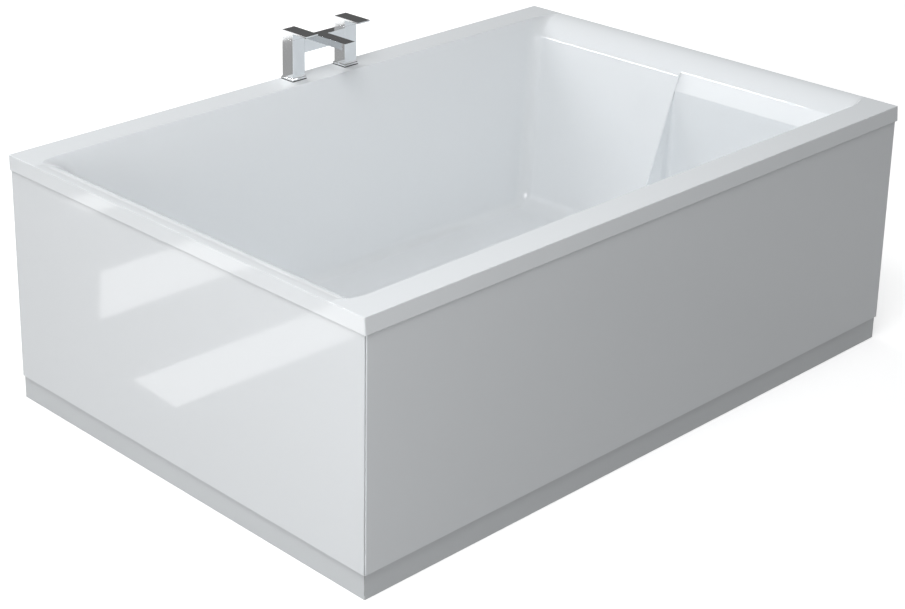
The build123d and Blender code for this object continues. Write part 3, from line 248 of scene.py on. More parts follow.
# Adjustable feet.
# Eight black moulded pads stand on the floor. A zinc-plated threaded rod rises
# from each through the leg channel and is locked there by a nut on either side.
channel_rows = (-0.450, -0.180, 0.180, 0.450)
foot_pitch = 0.660
foot_spots = [(row, side * foot_pitch / 2) for row in channel_rows for side in (-1, 1)]
rod_radius = 0.006
rod_foot = 0.005
rod_head = 0.136
thread_pitch = 0.00175
thread_depth = 0.0009
thread_sides = 14
core_sides = 28
pad_radius = 0.025
pad_step = 0.0014
pad_rib_count = 36
rib_radius = 0.0011
rib_height = 0.0056
rib_sides = 6
rib_tip = 0.5
nut_edge = 0.0007
pad_edge = 0.0008
zinc_tone = (0.56, 0.58, 0.60)
bright_zinc_tone = (0.60, 0.62, 0.64)
pad_tone = (0.022, 0.023, 0.025)
spangle_size = 140.0
merge_reach = 1e-6
flat_turn = 0.3
sharp_corner = 40


def new_group(name, kind, inputs, outputs):
    """An empty node group of a kind, with sockets from dicts of name and type, and its two end nodes."""
    group = bpy.data.node_groups.new(name, kind)
    for side, sockets in (("INPUT", inputs), ("OUTPUT", outputs)):
        for label, socket in sockets.items():
            group.interface.new_socket(label, in_out=side, socket_type="NodeSocket" + socket)
    return group, group.nodes.new("NodeGroupInput"), group.nodes.new("NodeGroupOutput")


def surface_drift_group():
    """Slow change of tone and gloss over a surface, which keeps a large face from looking flat."""
    group, entry, exit_ = new_group(
        "surface_drift", "ShaderNodeTree",
        {"Vector": "Vector", "Tone": "Color", "Tone Drift": "Float", "Gloss": "Float", "Gloss Drift": "Float",
         "Scale": "Float"},
        {"Tone": "Color", "Roughness": "Float"})
    noise = node_of(group, "ShaderNodeTexNoise", Detail=3.0)
    tinted = node_of(group, "ShaderNodeVectorMath", {"operation": "SCALE"})
    span = math_of(group, "SUBTRACT", noise.outputs[0], 0.5)
    tone_shift = math_of(group, "MULTIPLY_ADD", span, entry.outputs["Tone Drift"], 1.0)
    gloss_shift = math_of(group, "MULTIPLY_ADD", span, entry.outputs["Gloss Drift"], entry.outputs["Gloss"])
    group.links.new(tone_shift, tinted.inputs["Scale"])
    group.links.new(gloss_shift, exit_.inputs["Roughness"])
    wire(group, (entry, "Vector", noise, "Vector"), (entry, "Scale", noise, "Scale"), (entry, "Tone", tinted, 0),
         (tinted, 0, exit_, "Tone"))
    return group


def fine_relief_group():
    """A fine height over a surface: the ripple of a moulding, or the tooth of a rough one."""
    group, entry, exit_ = new_group(
        "fine_relief", "ShaderNodeTree",
        {"Vector": "Vector", "Ripple Scale": "Float", "Tooth Scale": "Float", "Tooth Share": "Float"},
        {"Height": "Float"})
    ripple = node_of(group, "ShaderNodeTexNoise", Detail=1.0)
    tooth = node_of(group, "ShaderNodeTexNoise", Detail=2.0)
    mixed = node_of(group, "ShaderNodeMix", {"data_type": "FLOAT"})
    wire(group, (entry, "Vector", ripple, "Vector"), (entry, "Vector", tooth, "Vector"),
         (entry, "Ripple Scale", ripple, "Scale"), (entry, "Tooth Scale", tooth, "Scale"),
         (entry, "Tooth Share", mixed, 0), (ripple, 0, mixed, 2), (tooth, 0, mixed, 3), (mixed, 0, exit_, "Height"))
    return group


drift_group = surface_drift_group()
relief_group = fine_relief_group()


def group_in(tree, group, **values):
    """A shader group placed in a tree, with values for its inputs by name."""
    return node_of(tree, "ShaderNodeGroup", {"node_tree": group}, **values)


def base_finish(name, **settings):
    """A material with one Principled shader: returns it, its tree, the shader and the Texture Coordinate node."""
    material = bpy.data.materials.new(name)
    material.use_nodes = True
    tree = material.node_tree
    shader = tree.nodes["Principled BSDF"]
    for key, value in settings.items():
        shader.inputs[key.replace("_", " ")].default_value = value
    return material, tree, shader, node_of(tree, "ShaderNodeTexCoord")


def add_relief(tree, shader, height, strength, distance):
    """Feeds a height into the shader's normal."""
    bump = node_of(tree, "ShaderNodeBump", Strength=strength, Distance=distance)
    tree.links.new(height, bump.inputs["Height"])
    wire(tree, (bump, 0, shader, "Normal"))


def plain_finish(name, tone, gloss, tone_drift=0.03, gloss_drift=0.08, scale=8.0, ripple=40.0, tooth=1200.0,
                 tooth_share=0.3, relief=0.1, depth=0.0004, **settings):
    """A one-colour finish whose tone and gloss wander a little and whose surface has a fine relief."""
    material, tree, shader, place = base_finish(name, **settings)
    shader.inputs["Base Color"].default_value = (*tone, 1.0)
    drift = group_in(tree, drift_group, Tone=(*tone, 1.0), Tone_Drift=tone_drift, Gloss=gloss,
                     Gloss_Drift=gloss_drift, Scale=scale)
    height = group_in(tree, relief_group, Ripple_Scale=ripple, Tooth_Scale=tooth, Tooth_Share=tooth_share)
    wire(tree, (place, "Object", drift, "Vector"), (drift, "Tone", shader, "Base Color"),
         (drift, "Roughness", shader, "Roughness"), (place, "Object", height, "Vector"))
    add_relief(tree, shader, height.outputs["Height"], relief, depth)
    return material


def spangle_finish(name, tone, cell_scale):
    """Zinc plating: pale crystal patches, each with its own tone and gloss."""
    material, tree, shader, place = base_finish(name, Metallic=1.0)
    cells = node_of(tree, "ShaderNodeTexVoronoi", Scale=cell_scale)
    patch = node_of(tree, "ShaderNodeSeparateColor")
    patch_tone = node_of(tree, "ShaderNodeMapRange", To_Min=0.78, To_Max=1.12)
    patch_gloss = node_of(tree, "ShaderNodeMapRange", To_Min=0.24, To_Max=0.46)
    tinted = node_of(tree, "ShaderNodeVectorMath", {"operation": "SCALE"})
    tinted.inputs[0].default_value = tone
    height = group_in(tree, relief_group, Ripple_Scale=60.0, Tooth_Scale=1500.0, Tooth_Share=0.5)
    wire(tree, (place, "Object", cells, "Vector"), (cells, "Color", patch, 0), (patch, 0, patch_tone, "Value"),
         (patch, 1, patch_gloss, "Value"), (patch_tone, 0, tinted, "Scale"), (tinted, 0, shader, "Base Color"),
         (patch_gloss, 0, shader, "Roughness"), (place, "Object", height, "Vector"))
    add_relief(tree, shader, height.outputs["Height"], strength=0.12, distance=0.0003)
    return material


def dress(material, *names):
    """Gives a finish to CAD nodes whose shape stays as it is."""
    for name in names:
        node = nodes_by_name[name]
        node.data.materials.clear()
        node.data.materials.append(material)


def new_piece(name, mesh, material, body, slot, *replaced):
    """Links a finished mesh as a piece of the bath that rides on a body and stands for CAD nodes."""
    mesh.materials.clear()
    mesh.materials.append(material)
    piece = bpy.data.objects.new(name, mesh)
    scene.collection.objects.link(piece)
    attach(piece, body)
    if replaced:
        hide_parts(*replaced)


def taken_mesh(name, carrier):
    """The mesh a carrier object shows with its modifiers at work, as a plain mesh. The carrier goes."""
    bpy.context.view_layer.update()
    evaluated = carrier.evaluated_get(bpy.context.evaluated_depsgraph_get())
    mesh = bpy.data.meshes.new_from_object(evaluated)
    mesh.name = name
    carrier.modifiers.clear()
    bpy.data.objects.remove(carrier)
    return mesh


def merged_mesh(node_name):
    """A copy of a CAD node's mesh, and a bmesh of it with points merged, flat faces whole and all faces smooth."""
    mesh = nodes_by_name[node_name].data.copy()
    work = bmesh.new()
    work.from_mesh(mesh)
    bmesh.ops.remove_doubles(work, verts=work.verts, dist=merge_reach)
    bmesh.ops.dissolve_limit(work, angle_limit=math.radians(flat_turn), verts=work.verts, edges=work.edges)
    for face in work.faces:
        face.smooth = True
    return mesh, work


def eased_mesh(name, mesh, width, segments=2, angle=None):
    """Rounds the edges sharper than an angle, or by their weights, and keeps the flat faces beside them flat."""
    carrier = bpy.data.objects.new(name + "_carrier", mesh)
    scene.collection.objects.link(carrier)
    bevel = carrier.modifiers.new("eased_edges", "BEVEL")
    bevel.width = width
    bevel.segments = segments
    bevel.limit_method = "WEIGHT"
    bevel.use_clamp_overlap = angle is not None
    if angle is not None:
        bevel.limit_method = "ANGLE"
        bevel.angle_limit = math.radians(angle)
    carrier.modifiers.new("flat_faces", "WEIGHTED_NORMAL").keep_sharp = True
    return taken_mesh(name, carrier)


def eased_piece(name, node_name, material, body, slot, width, segments=2):
    """A copy of a CAD node with its sharp edges rounded by a small radius, which stands for the node."""
    mesh, work = merged_mesh(node_name)
    work.to_mesh(mesh)
    work.free()
    new_piece(name, eased_mesh(name, mesh, width, segments, sharp_corner), material, body, slot, node_name)


def circle_points(radius, count):
    """Points of a circle round Z, from +X on, as (x, y)."""
    turns = [2 * math.pi * step / count for step in range(count)]
    return [(radius * math.cos(turn), radius * math.sin(turn)) for turn in turns]


def ring_faces(levels, count, closed):
    """Four-sided faces between rings of the same number of points, and from the last to the first if closed."""
    return [(level * count + step, level * count + (step + 1) % count,
             (level + 1) % levels * count + (step + 1) % count, (level + 1) % levels * count + step)
            for level in range(levels if closed else levels - 1) for step in range(count)]


def ring_mesh(name, rings):
    """A closed skin through rings of the same number of points, from the foot up."""
    mesh = bpy.data.meshes.new(name)
    count = len(rings[0])
    faces = ring_faces(len(rings), count, False)
    faces.append(tuple(reversed(range(count))))
    faces.append(tuple(range((len(rings) - 1) * count, len(rings) * count)))
    mesh.from_pydata([point for ring in rings for point in ring], [], faces)
    return mesh


def shape_tree(name, **inputs):
    """An empty Geometry Nodes tree that takes and gives geometry, with more inputs of the types given."""
    return new_group(name, "GeometryNodeTree", {"Geometry": "Geometry", **inputs}, {"Geometry": "Geometry"})


def end_tree(tree, entry, exit_, last):
    """Ends a Geometry Nodes tree: the instances of its last node are made real and get their material."""
    realize = node_of(tree, "GeometryNodeRealizeInstances")
    paint = node_of(tree, "GeometryNodeSetMaterial")
    wire(tree, (last, 0, realize, 0), (realize, 0, paint, "Geometry"), (entry, "Material", paint, "Material"),
         (paint, 0, exit_, 0))
    return tree


def grown_mesh(name, seed_mesh, tree, values):
    """Runs a Geometry Nodes tree on a mesh or curve, with its inputs by name, and gives back a plain mesh."""
    carrier = bpy.data.objects.new(name + "_carrier", seed_mesh)
    scene.collection.objects.link(carrier)
    modifier = carrier.modifiers.new(name, "NODES")
    modifier.node_group = tree
    for item in tree.interface.items_tree:
        if item.item_type == "SOCKET" and item.in_out == "INPUT" and item.name in values:
            modifier[item.identifier] = values[item.name]
    return taken_mesh(name, carrier)


def point_mesh(name, spots):
    """A mesh of loose points."""
    mesh = bpy.data.meshes.new(name)
    mesh.from_pydata(spots, [], [])
    return mesh


def like_pieces_tree():
    """Sets one shape on every point, faced along the point's own direction, with a turn from a fixed seed."""
    tree, entry, exit_ = shape_tree("like_pieces", Shape="Object", Material="Material", Turn="Float", Seed="Int")
    info = node_of(tree, "GeometryNodeObjectInfo")
    facing = node_of(tree, "GeometryNodeInputNamedAttribute", {"data_type": "FLOAT_VECTOR"}, Name="facing")
    align = node_of(tree, "FunctionNodeAlignRotationToVector", {"axis": "Z"})
    chance = node_of(tree, "FunctionNodeRandomValue", {"data_type": "FLOAT"})
    spin = node_of(tree, "ShaderNodeCombineXYZ")
    turn = node_of(tree, "FunctionNodeRotateRotation", {"rotation_space": "LOCAL"})
    spin_turn = node_of(tree, "FunctionNodeEulerToRotation")
    place = node_of(tree, "GeometryNodeInstanceOnPoints")
    wire(tree, (entry, "Shape", info, "Object"), (entry, "Turn", chance, 3), (entry, "Seed", chance, "Seed"),
         (chance, 1, spin, "Z"), (spin, 0, spin_turn, 0), (facing, "Attribute", align, "Vector"),
         (align, 0, turn, "Rotation"), (spin_turn, 0, turn, "Rotate By"), (entry, "Geometry", place, "Points"),
         (info, "Geometry", place, "Instance"), (turn, 0, place, "Rotation"))
    return end_tree(tree, entry, exit_, place)


like_tree = like_pieces_tree()


def like_piece(name, shape_mesh, spots, facings, material, slot, *replaced, turn=0.0, seed=3):
    """A piece of many like shapes: one stands at each spot and looks along that spot's direction."""
    seeds = point_mesh(name + "_spots", spots)
    directions = seeds.attributes.new("facing", "FLOAT_VECTOR", "POINT")
    for index, facing in enumerate(facings):
        directions.data[index].vector = facing
    shape = bpy.data.objects.new(name + "_shape", shape_mesh)
    scene.collection.objects.link(shape)
    mesh = grown_mesh(name, seeds, like_tree, {"Shape": shape, "Material": material, "Turn": turn, "Seed": seed})
    bpy.data.objects.remove(shape)
    new_piece(name, mesh, material, "bath", slot, *replaced)


def threaded_rod_tree():
    """A core with a helical thread on it: a spiral curve carries the ridge, and both stand at every point."""
    tree, entry, exit_ = shape_tree("threaded_rods", Radius="Float", Depth="Float", Pitch="Float", Length="Float",
                                    Sides="Int", Core="Bool", Material="Material")
    radius, depth, pitch, length = (entry.outputs[key] for key in ("Radius", "Depth", "Pitch", "Length"))
    core_radius = math_of(tree, "SUBTRACT", radius, depth)
    turns = math_of(tree, "SUBTRACT", math_of(tree, "DIVIDE", length, pitch), 2.0)
    spiral = node_of(tree, "GeometryNodeCurveSpiral")
    tilt = node_of(tree, "GeometryNodeSetCurveNormal", {"mode": "Z_UP"})
    ridge = node_of(tree, "GeometryNodeCurvePrimitiveCircle", Resolution=3)
    thread = node_of(tree, "GeometryNodeCurveToMesh", Fill_Caps=True)
    raise_thread = node_of(tree, "GeometryNodeTransform")
    rise = node_of(tree, "ShaderNodeCombineXYZ")
    core = node_of(tree, "GeometryNodeMeshCylinder", Vertices=core_sides)
    lift = node_of(tree, "GeometryNodeTransform")
    half = node_of(tree, "ShaderNodeCombineXYZ")
    with_core = node_of(tree, "GeometryNodeSwitch", {"input_type": "GEOMETRY"})
    joined = node_of(tree, "GeometryNodeJoinGeometry")
    place = node_of(tree, "GeometryNodeInstanceOnPoints")
    for value, target in ((turns, spiral.inputs["Rotations"]), (core_radius, spiral.inputs["Start Radius"]),
                          (core_radius, spiral.inputs["End Radius"]), (core_radius, core.inputs["Radius"]),
                          (math_of(tree, "MULTIPLY", turns, pitch), spiral.inputs["Height"]),
                          (math_of(tree, "DIVIDE", length, 2.0), half.inputs["Z"])):
        tree.links.new(value, target)
    wire(tree, (entry, "Sides", spiral, "Resolution"), (entry, "Depth", ridge, "Radius"),
         (spiral, 0, tilt, "Curve"), (tilt, 0, thread, "Curve"), (ridge, 0, thread, "Profile Curve"),
         (entry, "Pitch", rise, "Z"), (thread, 0, raise_thread, "Geometry"), (rise, 0, raise_thread, "Translation"),
         (entry, "Length", core, "Depth"), (core, "Mesh", lift, "Geometry"), (half, 0, lift, "Translation"),
         (entry, "Core", with_core, "Switch"), (lift, 0, with_core, "True"), (raise_thread, 0, joined, 0),
         (with_core, 0, joined, 0), (entry, "Geometry", place, "Points"), (joined, 0, place, "Instance"))
    return end_tree(tree, entry, exit_, place)


zinc = spangle_finish("zinc_plate", zinc_tone, spangle_size)
bright_zinc = plain_finish("bright_zinc", bright_zinc_tone, gloss=0.26, tone_drift=0.12, gloss_drift=0.20,
                           scale=60.0, relief=0.05, Metallic=1.0)
pad_plastic = plain_finish("pad_plastic", pad_tone, gloss=0.52, tone_drift=0.3, gloss_drift=0.2, scale=50.0,
                           tooth_share=0.8, relief=0.35)
rod_tree = threaded_rod_tree()
rods = grown_mesh("threaded_rods", point_mesh("rod_points", [(x, y, rod_foot) for x, y in foot_spots]), rod_tree, {
    "Radius": rod_radius, "Depth": thread_depth, "Pitch": thread_pitch, "Length": rod_head - rod_foot,
    "Sides": thread_sides, "Core": True, "Material": bright_zinc})
new_piece("foot_rods_threaded", rods, bright_zinc, "bath", "zinc_steel", "foot_rods")
eased_piece("foot_nuts_eased", "foot_nuts", bright_zinc, "bath", "zinc_steel", nut_edge)
eased_piece("foot_pads_eased", "foot_pads", pad_plastic, "bath", "black_plastic", pad_edge)
rib_ring = circle_points(rib_radius, rib_sides)
rib_mesh = ring_mesh("pad_rib", [[(x, y, 0.0) for x, y in rib_ring], [(x, y, rib_height) for x, y in rib_ring],
                                 [(x * rib_tip, y * rib_tip, rib_height + rib_radius * rib_tip)
                                  for x, y in rib_ring]])
rib_spots = [(x + out_x, y + out_y, pad_step) for x, y in foot_spots
             for out_x, out_y in circle_points(pad_radius - rib_radius / 2, pad_rib_count)]
like_piece("foot_pad_ribs", rib_mesh, rib_spots, [(0, 0, 1)] * len(rib_spots), pad_plastic, "black_plastic")


# Leg channels and their screws.
# Four folded steel channels, galvanised, cross the underside of the bath, and
# four pan-head screws hold each of them up against the base board.
screw_rows = (0.240, 0.080)
channel_web = 0.122
channel_edge = 0.0008
galvanised_tone = (0.52, 0.54, 0.56)
wide_spangle_size = 75.0
head_radius = 0.0035
head_height = 0.002
recess_reach = 0.0021
recess_half = 0.00055
recess_depth = 0.0012
recess_taper = 0.72
head_steps = 24
head_profile = ((1.0, 0.0), (1.0, 0.35), (0.93, 0.72), (0.78, 0.95))  # shares of its radius and its height
screw_turn = 3.0


def cross_points(share):
    """The outline of a screw's cross recess, at a share of its size."""
    points = []
    for x, y in circle_points(1.0, head_steps):
        to_arm = abs((math.atan2(y, x) + math.pi / 4) % (math.pi / 2) - math.pi / 4)
        reach = recess_reach / math.cos(to_arm)
        if math.tan(to_arm) * recess_reach > recess_half:
            reach = recess_half / math.sin(to_arm)
        points.append((share * reach * x, share * reach * y))
    return points


def screw_head_mesh(name):
    """A pan head on its flat side, with a cross recess in its top."""
    outlines = [(circle_points(head_radius * out, head_steps), head_height * up) for out, up in head_profile]
    outlines += [(cross_points(1.0), head_height), (cross_points(recess_taper), head_height - recess_depth)]
    return ring_mesh(name, [[(x, y, level) for x, y in outline] for outline, level in outlines])


galvanised = spangle_finish("galvanised_steel", galvanised_tone, wide_spangle_size)
channel_screw_spots = [(row, side * out, channel_web)
                       for row in channel_rows for side in (-1, 1) for out in screw_rows]
head_shape = screw_head_mesh("screw_head")
like_piece("channel_screw_heads", head_shape, channel_screw_spots, [(0, 0, -1)] * len(channel_screw_spots),
           bright_zinc, "zinc_steel", "channel_screws", turn=screw_turn, seed=5)
eased_piece("leg_channels_folded", "leg_channels", galvanised, "bath", "zinc_steel", channel_edge)


# Base board.
# A flake board bonded under the floor of the moulding carries the bather's
# weight to the channels. Its pressed chips show on the faces and its edges are rough.
chip_pale = (0.60, 0.44, 0.25)
chip_dark = (0.34, 0.21, 0.10)
chip_crowding = (38.0, 70.0, 70.0)
chip_swirl = (3.0, 3.0, 3.0)


def chip_board_finish():
    """Pressed flakes, each with its own tone, gloss and height."""
    material, tree, shader, place = base_finish("flake_board")
    stretch = node_of(tree, "ShaderNodeMapping", Scale=chip_crowding)
    warp = node_of(tree, "ShaderNodeTexNoise", Scale=0.35, Detail=2.0)
    swirl = node_of(tree, "ShaderNodeVectorMath", {"operation": "MULTIPLY_ADD"})
    swirl.inputs[1].default_value = chip_swirl
    chips = node_of(tree, "ShaderNodeTexVoronoi", Scale=1.0)
    split = node_of(tree, "ShaderNodeSeparateColor")
    ramp = node_of(tree, "ShaderNodeValToRGB")
    ramp.color_ramp.elements[0].color = (*chip_dark, 1.0)
    ramp.color_ramp.elements[1].color = (*chip_pale, 1.0)
    gloss = node_of(tree, "ShaderNodeMapRange", To_Min=0.62, To_Max=0.85)
    wire(tree, (place, "Object", stretch, "Vector"), (stretch, 0, warp, "Vector"), (warp, "Color", swirl, 0),
         (stretch, 0, swirl, 2), (swirl, 0, chips, "Vector"), (chips, "Color", split, 0), (split, 0, ramp, 0),
         (split, 1, gloss, "Value"), (ramp, 0, shader, "Base Color"), (gloss, 0, shader, "Roughness"))
    add_relief(tree, shader, split.outputs[2], strength=0.25, distance=0.0006)
    return material


dress(chip_board_finish(), "base_board")


# Moulded shell.
# One sheet of cast acrylic drawn over a mould: wide flat rim, leaning sides,
# and at each end a raised back rest on one half beside a steeper foot wall.
acrylic_tone = (0.840, 0.865, 0.884)
acrylic_gloss = 0.05
nearly = 1e-4
sharp_turn = 24
rim_level = 0.625
rim_arris = 0.003
rim_full_turn = 60
rim_straight = 0.53
step_foot = 0.150
step_turn = 60
step_cuts = 11
step_length = 0.2
step_rise = 0.1
crease_turn = 1.0  # radians
step_share = 0.3
step_least = 0.0002
rest_edge = 0.003
deep_corner = 0.010
corner_segments = 4
lip_foot = 0.587
lip_turn = 80
lip_edge = 0.0008
lip_lean = 0.08
front_face = -0.5925
rest_line = ((0.1877, 0.6477), (0.5766, 0.8032), (0.5895, 0.8153))
foot_line = ((0.2070, 0.7740), (0.5390, 0.7908), (0.5428, 0.7918), (0.5867, 0.8132), (0.5895, 0.8153))


def line_at(line, level):
    """How far out a stepped end stands at a height, from points of (height, distance)."""
    for (low, near), (high, far) in zip(line, line[1:]):
        if level <= high:
            return near + (far - near) * max(0.0, (level - low) / (high - low))
    return line[-1][1]


def shell_edge_width(edge):
    """The radius a sharp edge of the moulding gets, from where it lies. Other edges get none."""
    first, second = (vertex.co for vertex in edge.verts)
    turn = math.degrees(edge.calc_face_angle(0))
    middle = (first + second) / 2
    if turn < sharp_turn:
        return 0.0
    on_rim = abs(first.z - rim_level) < nearly and abs(second.z - rim_level) < nearly
    if on_rim and abs(middle.y) < rim_straight:
        return rim_arris * min(1.0, turn / rim_full_turn)
    on_step = abs(first.y) < nearly and abs(second.y) < nearly
    if on_step and middle.z > step_foot - 5 * nearly and turn > step_turn:
        step_width = line_at(foot_line, middle.z) - line_at(rest_line, middle.z)
        if min(first.z, second.z) < step_foot + nearly and not edge.is_convex:
            return 0.0
        return min(rest_edge if edge.is_convex else deep_corner, step_share * step_width + step_least)
    if abs(middle.z - lip_foot) < nearly and turn > lip_turn:
        return lip_edge
    return 0.0


shell_mesh, work = merged_mesh("bath_shell")
step_edges = [edge for edge in work.edges
              if all(abs(vertex.co.y) < nearly for vertex in edge.verts) and edge.calc_length() > step_length
              and abs(edge.verts[0].co.z - edge.verts[1].co.z) > step_rise and edge.calc_face_angle(0) > crease_turn]
bmesh.ops.bisect_edges(work, edges=step_edges, cuts=step_cuts)
for vertex in work.verts:
    if vertex.co.y < front_face:
        vertex.co.y += lip_lean * max(0.0, vertex.co.z - lip_foot)
weights = work.edges.layers.float.new("bevel_weight_edge")
for edge in work.edges:
    edge[weights] = shell_edge_width(edge) / deep_corner
    edge.smooth = edge[weights] > 0 or math.degrees(edge.calc_face_angle(0)) < sharp_turn
work.to_mesh(shell_mesh)
work.free()
acrylic = plain_finish("cast_acrylic", acrylic_tone, acrylic_gloss, tone_drift=0.012, gloss_drift=0.03, scale=2.5,
                       ripple=9.0, tooth=600.0, tooth_share=0.06, relief=0.05, depth=0.0006, IOR=1.49)
new_piece("moulded_shell", eased_mesh("moulded_shell", shell_mesh, deep_corner, corner_segments), acrylic, "bath",
          "acrylic", "bath_shell")


# Battens and corner posts.
# Planed softwood battens are glued in behind the fascia and four square posts
# stand in the corners. They carry the panels; their growth rings and fibres show.
timber_pale = (0.60, 0.42, 0.235)
timber_dark = (0.40, 0.245, 0.115)
timber_edge = 0.0015
along_grain = 2.2
across_grain = 34.0
fibre_share = 0.35
quarter_turn = math.pi / 2
grain_turns = {"along_x": (0, 0, 0), "along_y": (0, 0, quarter_turn), "upright": (0, quarter_turn, 0)}


def timber_grain_group():
    """Growth rings and fibres that run along X of the vector handed in."""
    group, entry, exit_ = new_group(
        "timber_grain", "ShaderNodeTree", {"Vector": "Vector", "Pale": "Color", "Dark": "Color"},
        {"Tone": "Color", "Roughness": "Float", "Height": "Float"})
    rings = node_of(group, "ShaderNodeTexWave", {"bands_direction": "Y", "wave_profile": "SAW"}, Scale=0.55,
                    Distortion=7.0, Detail=2.0, Detail_Scale=0.7)
    fibres = node_of(group, "ShaderNodeTexNoise", Scale=9.0, Detail=3.0)
    blend = node_of(group, "ShaderNodeMix", {"data_type": "FLOAT"})
    blend.inputs[0].default_value = fibre_share
    tone = node_of(group, "ShaderNodeMix", {"data_type": "RGBA"})
    gloss = node_of(group, "ShaderNodeMapRange", To_Min=0.78, To_Max=0.58)
    wire(group, (entry, "Vector", rings, "Vector"), (entry, "Vector", fibres, "Vector"), (rings, "Fac", blend, 2),
         (fibres, 0, blend, 3), (blend, 0, tone, 0), (entry, "Pale", tone, 6), (entry, "Dark", tone, 7),
         (blend, 0, gloss, "Value"), (tone, 2, exit_, "Tone"), (gloss, 0, exit_, "Roughness"),
         (blend, 0, exit_, "Height"))
    return group


grain_group = timber_grain_group()


def timber_finish(way):
    """Softwood whose grain runs along one axis of the bath."""
    material, tree, shader, place = base_finish("timber_" + way)
    turned = node_of(tree, "ShaderNodeMapping", Rotation=grain_turns[way])
    stretch = node_of(tree, "ShaderNodeMapping", Scale=(along_grain, across_grain, across_grain))
    grain = group_in(tree, grain_group, Pale=(*timber_pale, 1.0), Dark=(*timber_dark, 1.0))
    wire(tree, (place, "Object", turned, "Vector"), (turned, 0, stretch, "Vector"), (stretch, 0, grain, "Vector"),
         (grain, "Tone", shader, "Base Color"), (grain, "Roughness", shader, "Roughness"))
    add_relief(tree, shader, grain.outputs["Height"], strength=0.3, distance=0.0005)
    return material


for timber, way_of_grain in (("front_batten", "along_x"), ("end_battens", "along_y"), ("corner_posts", "upright")):
    eased_piece(timber + "_planed", timber, timber_finish(way_of_grain), "bath", "timber", timber_edge)


# Fixing angles and their screws.
# Twelve folded steel angles, zinc plated, hold the panels to the posts, with one
# pan-head screw in each leg.
angle_levels = (0.150, 0.450)
leg_middle = 0.0135
angle_plate = 0.002
angle_edge = 0.0005
front_corner = (0.839, 0.579)
end_corner = (0.879, 0.539)
angle_corners = [(side * front_corner[0], -front_corner[1], -side, 1) for side in (-1, 1)]
angle_corners += [(side * end_corner[0], row * end_corner[1], -side, -row) for side in (-1, 1) for row in (-1, 1)]
angle_screws = []
for corner_x, corner_y, along_x, along_y in angle_corners:
    for level in angle_levels:
        angle_screws.append(((corner_x + along_x * leg_middle, corner_y + along_y * angle_plate, level),
                             (0, along_y, 0)))
        angle_screws.append(((corner_x + along_x * angle_plate, corner_y + along_y * leg_middle, level),
                             (along_x, 0, 0)))
angle_screw_spots, angle_screw_facings = zip(*angle_screws)
like_piece("angle_screw_heads", head_shape, angle_screw_spots, angle_screw_facings, bright_zinc, "zinc_steel",
           "angle_screws", turn=screw_turn, seed=8)
eased_piece("fixing_angles_folded", "fixing_angles", zinc, "bath", "zinc_steel", angle_edge)


# Wall hangers.
# Three pressed steel hooks, zinc plated, are screwed to the wall and hold the
# rim's wall edge.
hanger_edge = 0.0006
eased_piece("wall_hangers_pressed", "wall_hangers", zinc, "bath", "zinc_steel", hanger_edge)


# Waste fitting.
# A white plastic cup under the floor is drawn up to a polished chrome flange by
# its thread. Rubber rings seal it on both sides of the moulding.
waste_edge = 0.0006
chrome_tone = (0.80, 0.81, 0.82)
rubber_tone = (0.020, 0.020, 0.022)
plastic_tone = (0.74, 0.745, 0.735)
chrome = plain_finish("chrome_plate", chrome_tone, gloss=0.05, tone_drift=0.02, gloss_drift=0.04, scale=30.0,
                      ripple=12.0, tooth_share=0.02, relief=0.01, Metallic=1.0)
rubber = plain_finish("seal_rubber", rubber_tone, gloss=0.62, tone_drift=0.25, gloss_drift=0.15, scale=120.0,
                      tooth_share=0.7, relief=0.3)
white_plastic = plain_finish("moulded_plastic", plastic_tone, gloss=0.33, tone_drift=0.04, gloss_drift=0.1,
                             scale=18.0, tooth=900.0, tooth_share=0.5, relief=0.12)
eased_piece("waste_flange_polished", "waste_flange", chrome, "bath", "chrome", waste_edge)
dress(rubber, "waste_seal")
dress(white_plastic, "waste_cup")


# Plug and its lift.
# A chrome-plated plug with a rubber ring rides up and down in the waste. A
# brass rocker on a steel pin lifts it, pulled by a wire inside a black sheath.
sheath_tone = (0.030, 0.031, 0.034)
brass_tone = (0.66, 0.50, 0.24)
sheath = plain_finish("cable_sheath", sheath_tone, gloss=0.42, tone_drift=0.2, gloss_drift=0.12, scale=90.0,
                      tooth_share=0.8, relief=0.3)
brass = plain_finish("turned_brass", brass_tone, gloss=0.24, tone_drift=0.12, gloss_drift=0.16, scale=70.0,
                     ripple=300.0, tooth_share=0.4, relief=0.06, Metallic=1.0)
eased_piece("plug_polished", "plug", chrome, "plug", "chrome", waste_edge)
dress(rubber, "plug_seal")
dress(bright_zinc, "rocker_pivot")
dress(brass, "rocker")
dress(sheath, "plug_cable")


# Overflow fitting.
# A round white plastic body sits behind the front wall of the moulding. Two
# screws through the chrome ring draw it up to its seal, and the cap turns in it.
ring_plane_y = -0.497275
ring_plane_z = 0.561116
ring_screw_out = 0.017
wall_facing = (0, 0.960294, 0.278991)
ring_edge = 0.0005
cap_edge = 0.0012
cap_edge_segments = 3
dress(white_plastic, "overflow_body")
dress(rubber, "overflow_seal")
eased_piece("overflow_ring_polished", "overflow_ring", chrome, "bath", "chrome", ring_edge)
ring_screw_spots = [(side * ring_screw_out, ring_plane_y, ring_plane_z) for side in (-1, 1)]
like_piece("overflow_screw_heads", head_shape, ring_screw_spots, [wall_facing] * len(ring_screw_spots),
           bright_zinc, "zinc_steel", "overflow_screws", turn=screw_turn, seed=4)
eased_piece("overflow_cap_polished", "overflow_cap", chrome, "overflow_cap", "chrome", cap_edge, cap_edge_segments)


